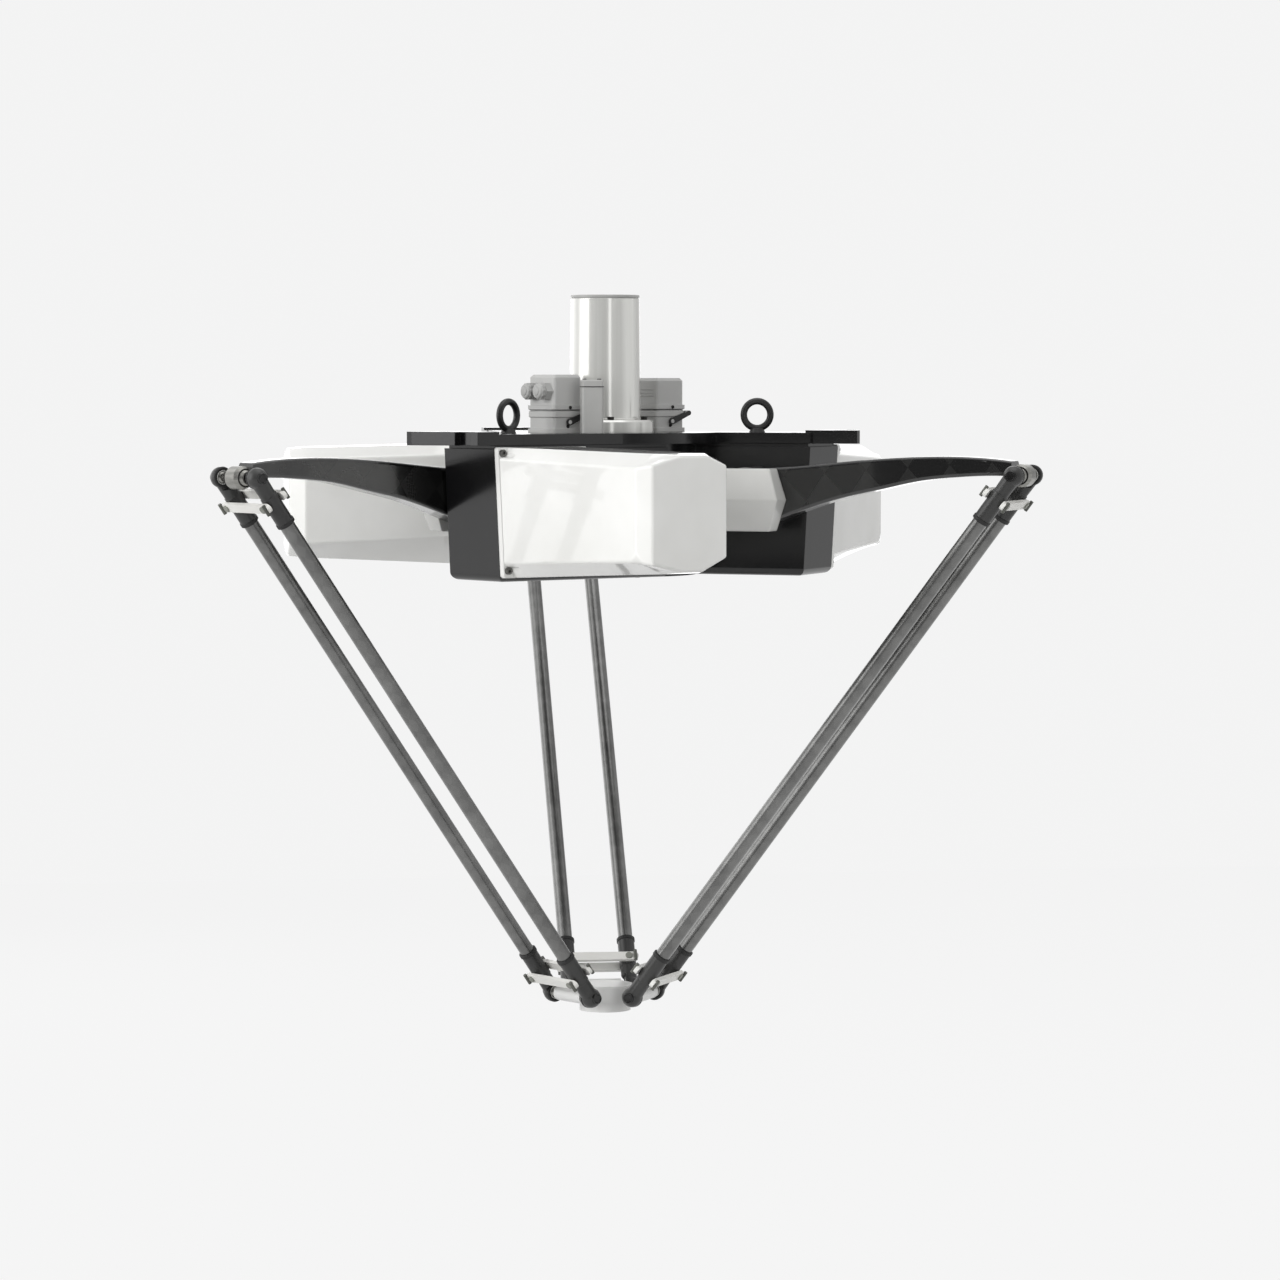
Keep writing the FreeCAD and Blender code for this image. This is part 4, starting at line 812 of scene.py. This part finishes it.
def pale_floor():
    """A floor that melts into the background and keeps the robot's shadow."""
    half = FLOOR_SIZE / 2
    corners = [(x * half, y * half, FLOOR_Z) for x, y in ((-1, -1), (1, -1), (1, 1), (-1, 1))]
    mesh = bpy.data.meshes.new("floor")
    mesh.from_pydata(corners, [], [(0, 1, 2, 3)])
    mesh.materials.append(floor_finish())
    floor = bpy.data.objects.new("floor", mesh)
    bpy.context.scene.collection.objects.link(floor)


def room_strength(tree, x, y, z):
    """How bright the room is that reflections see in a direction: walls by turn, then the ceiling."""
    turn = math_node(tree, "ARCTAN2", x, math_node(tree, "MULTIPLY", y, -1.0))
    share = math_node(tree, "ADD", math_node(tree, "DIVIDE", turn, 2 * math.pi), 0.5)
    ramp = tree.nodes.new("ShaderNodeValToRGB")
    stops = ramp.color_ramp.elements
    for index, (degrees, strength) in enumerate(GLOSSY_ROOM):
        place = degrees / 360 + 0.5
        stop = stops[0] if index == 0 else stops.new(place)
        stop.position = place
        stop.color = grey(strength / ROOM_PEAK)
    tree.links.new(share, ramp.inputs["Fac"])
    walls = math_node(tree, "MULTIPLY", ramp.outputs["Color"], ROOM_PEAK)
    walls = math_node(tree, "MULTIPLY", walls, smooth_step(tree, z, *WALL_FADE, 1.0, WALL_OVERHEAD))
    return math_node(tree, "MAXIMUM", walls, smooth_step(tree, z, *CEILING_FADE, 0.0, CEILING_LEVEL))


def studio_world():
    """A plain fill, and in reflections a dark room with a wide lamp on its left and a slim one in front."""
    world = bpy.data.worlds.new("studio")
    bpy.context.scene.world = world
    world.use_nodes = True
    tree = world.node_tree
    rays = tree.nodes.new("ShaderNodeLightPath").outputs
    split = tree.nodes.new("ShaderNodeSeparateXYZ")
    tree.links.new(tree.nodes.new("ShaderNodeTexCoord").outputs["Generated"], split.inputs["Vector"])
    x, y, z = split.outputs
    fill = tree.nodes["Background"]
    fill.inputs["Color"].default_value = grey(1)
    fill_strength = smooth_step(tree, z, -HORIZON_HALF, HORIZON_HALF, FILL_BELOW, FILL_ABOVE)
    tree.links.new(fill_strength, fill.inputs["Strength"])
    room = add_node(tree, "ShaderNodeBackground", Color=grey(1))
    tree.links.new(room_strength(tree, x, y, z), room.inputs["Strength"])
    plain = add_node(tree, "ShaderNodeBackground", Color=grey(BACKGROUND), Strength=1.0)
    unseen = mix_shaders(tree, rays["Is Glossy Ray"], fill.outputs[0], room.outputs[0])
    seen = math_node(tree, "MAXIMUM", rays["Is Camera Ray"], rays["Is Transmission Ray"])
    shown = mix_shaders(tree, seen, unseen, plain.outputs[0])
    tree.links.new(shown, tree.nodes["World Output"].inputs["Surface"])


def softbox(name, place, target, side, watts, mirrored):
    """A square lamp that faces its target."""
    data = bpy.data.lights.new(name, "AREA")
    data.shape = "RECTANGLE"
    data.size = side
    data.size_y = side
    data.energy = watts
    lamp = bpy.data.objects.new(name, data)
    lamp.location = place
    lamp.visible_glossy = mirrored
    lamp.rotation_mode = "QUATERNION"
    lamp.rotation_quaternion = (Vector(target) - Vector(place)).to_track_quat("-Z", "Y")
    bpy.context.scene.collection.objects.link(lamp)


def photo_camera():
    data = bpy.data.cameras.new("camera")
    data.lens = CAMERA_LENS
    data.sensor_width = CAMERA_SENSOR
    data.shift_x, data.shift_y = CAMERA_SHIFT
    data.clip_start, data.clip_end = CAMERA_CLIP
    camera = bpy.data.objects.new("camera", data)
    azimuth = math.radians(CAMERA_AZIMUTH)
    pitch = math.radians(CAMERA_PITCH)
    level = math.cos(pitch)
    look = Vector((math.cos(azimuth) * level, math.sin(azimuth) * level, math.sin(pitch)))
    camera.location = CAMERA_PLACE
    camera.rotation_mode = "QUATERNION"
    camera.rotation_quaternion = look.to_track_quat("-Z", "Y")
    bpy.context.scene.collection.objects.link(camera)
    bpy.context.scene.camera = camera


# The whole scene

for name, slot in SLOTS.items():
    if slot in FINISHES:
        dress(name, FINISHES[slot])
dress("junction_box", FINISHES["box_grey"])
dress("cover_screws", FINISHES["screw_steel"])
for number, azimuth in enumerate(ARM_AZIMUTHS, 1):
    dress(f"arm_{number}", carbon_arm(f"carbon_arm_{number}", azimuth))
    dress(f"tie_pins_{number}", FINISHES["pin_olive"])
    dress_rod_pair(number, azimuth)
    dress_elbow(number, azimuth)
    dress_drive(number, azimuth)
dress_bottom_cover()
dress_connectors()
dress_glands()
dress_junction_box()
dress_column()

pale_floor()
studio_world()
for lamp in LAMPS:
    softbox(*lamp)
photo_camera()

view = bpy.context.scene.view_settings
view.view_transform = "Standard"
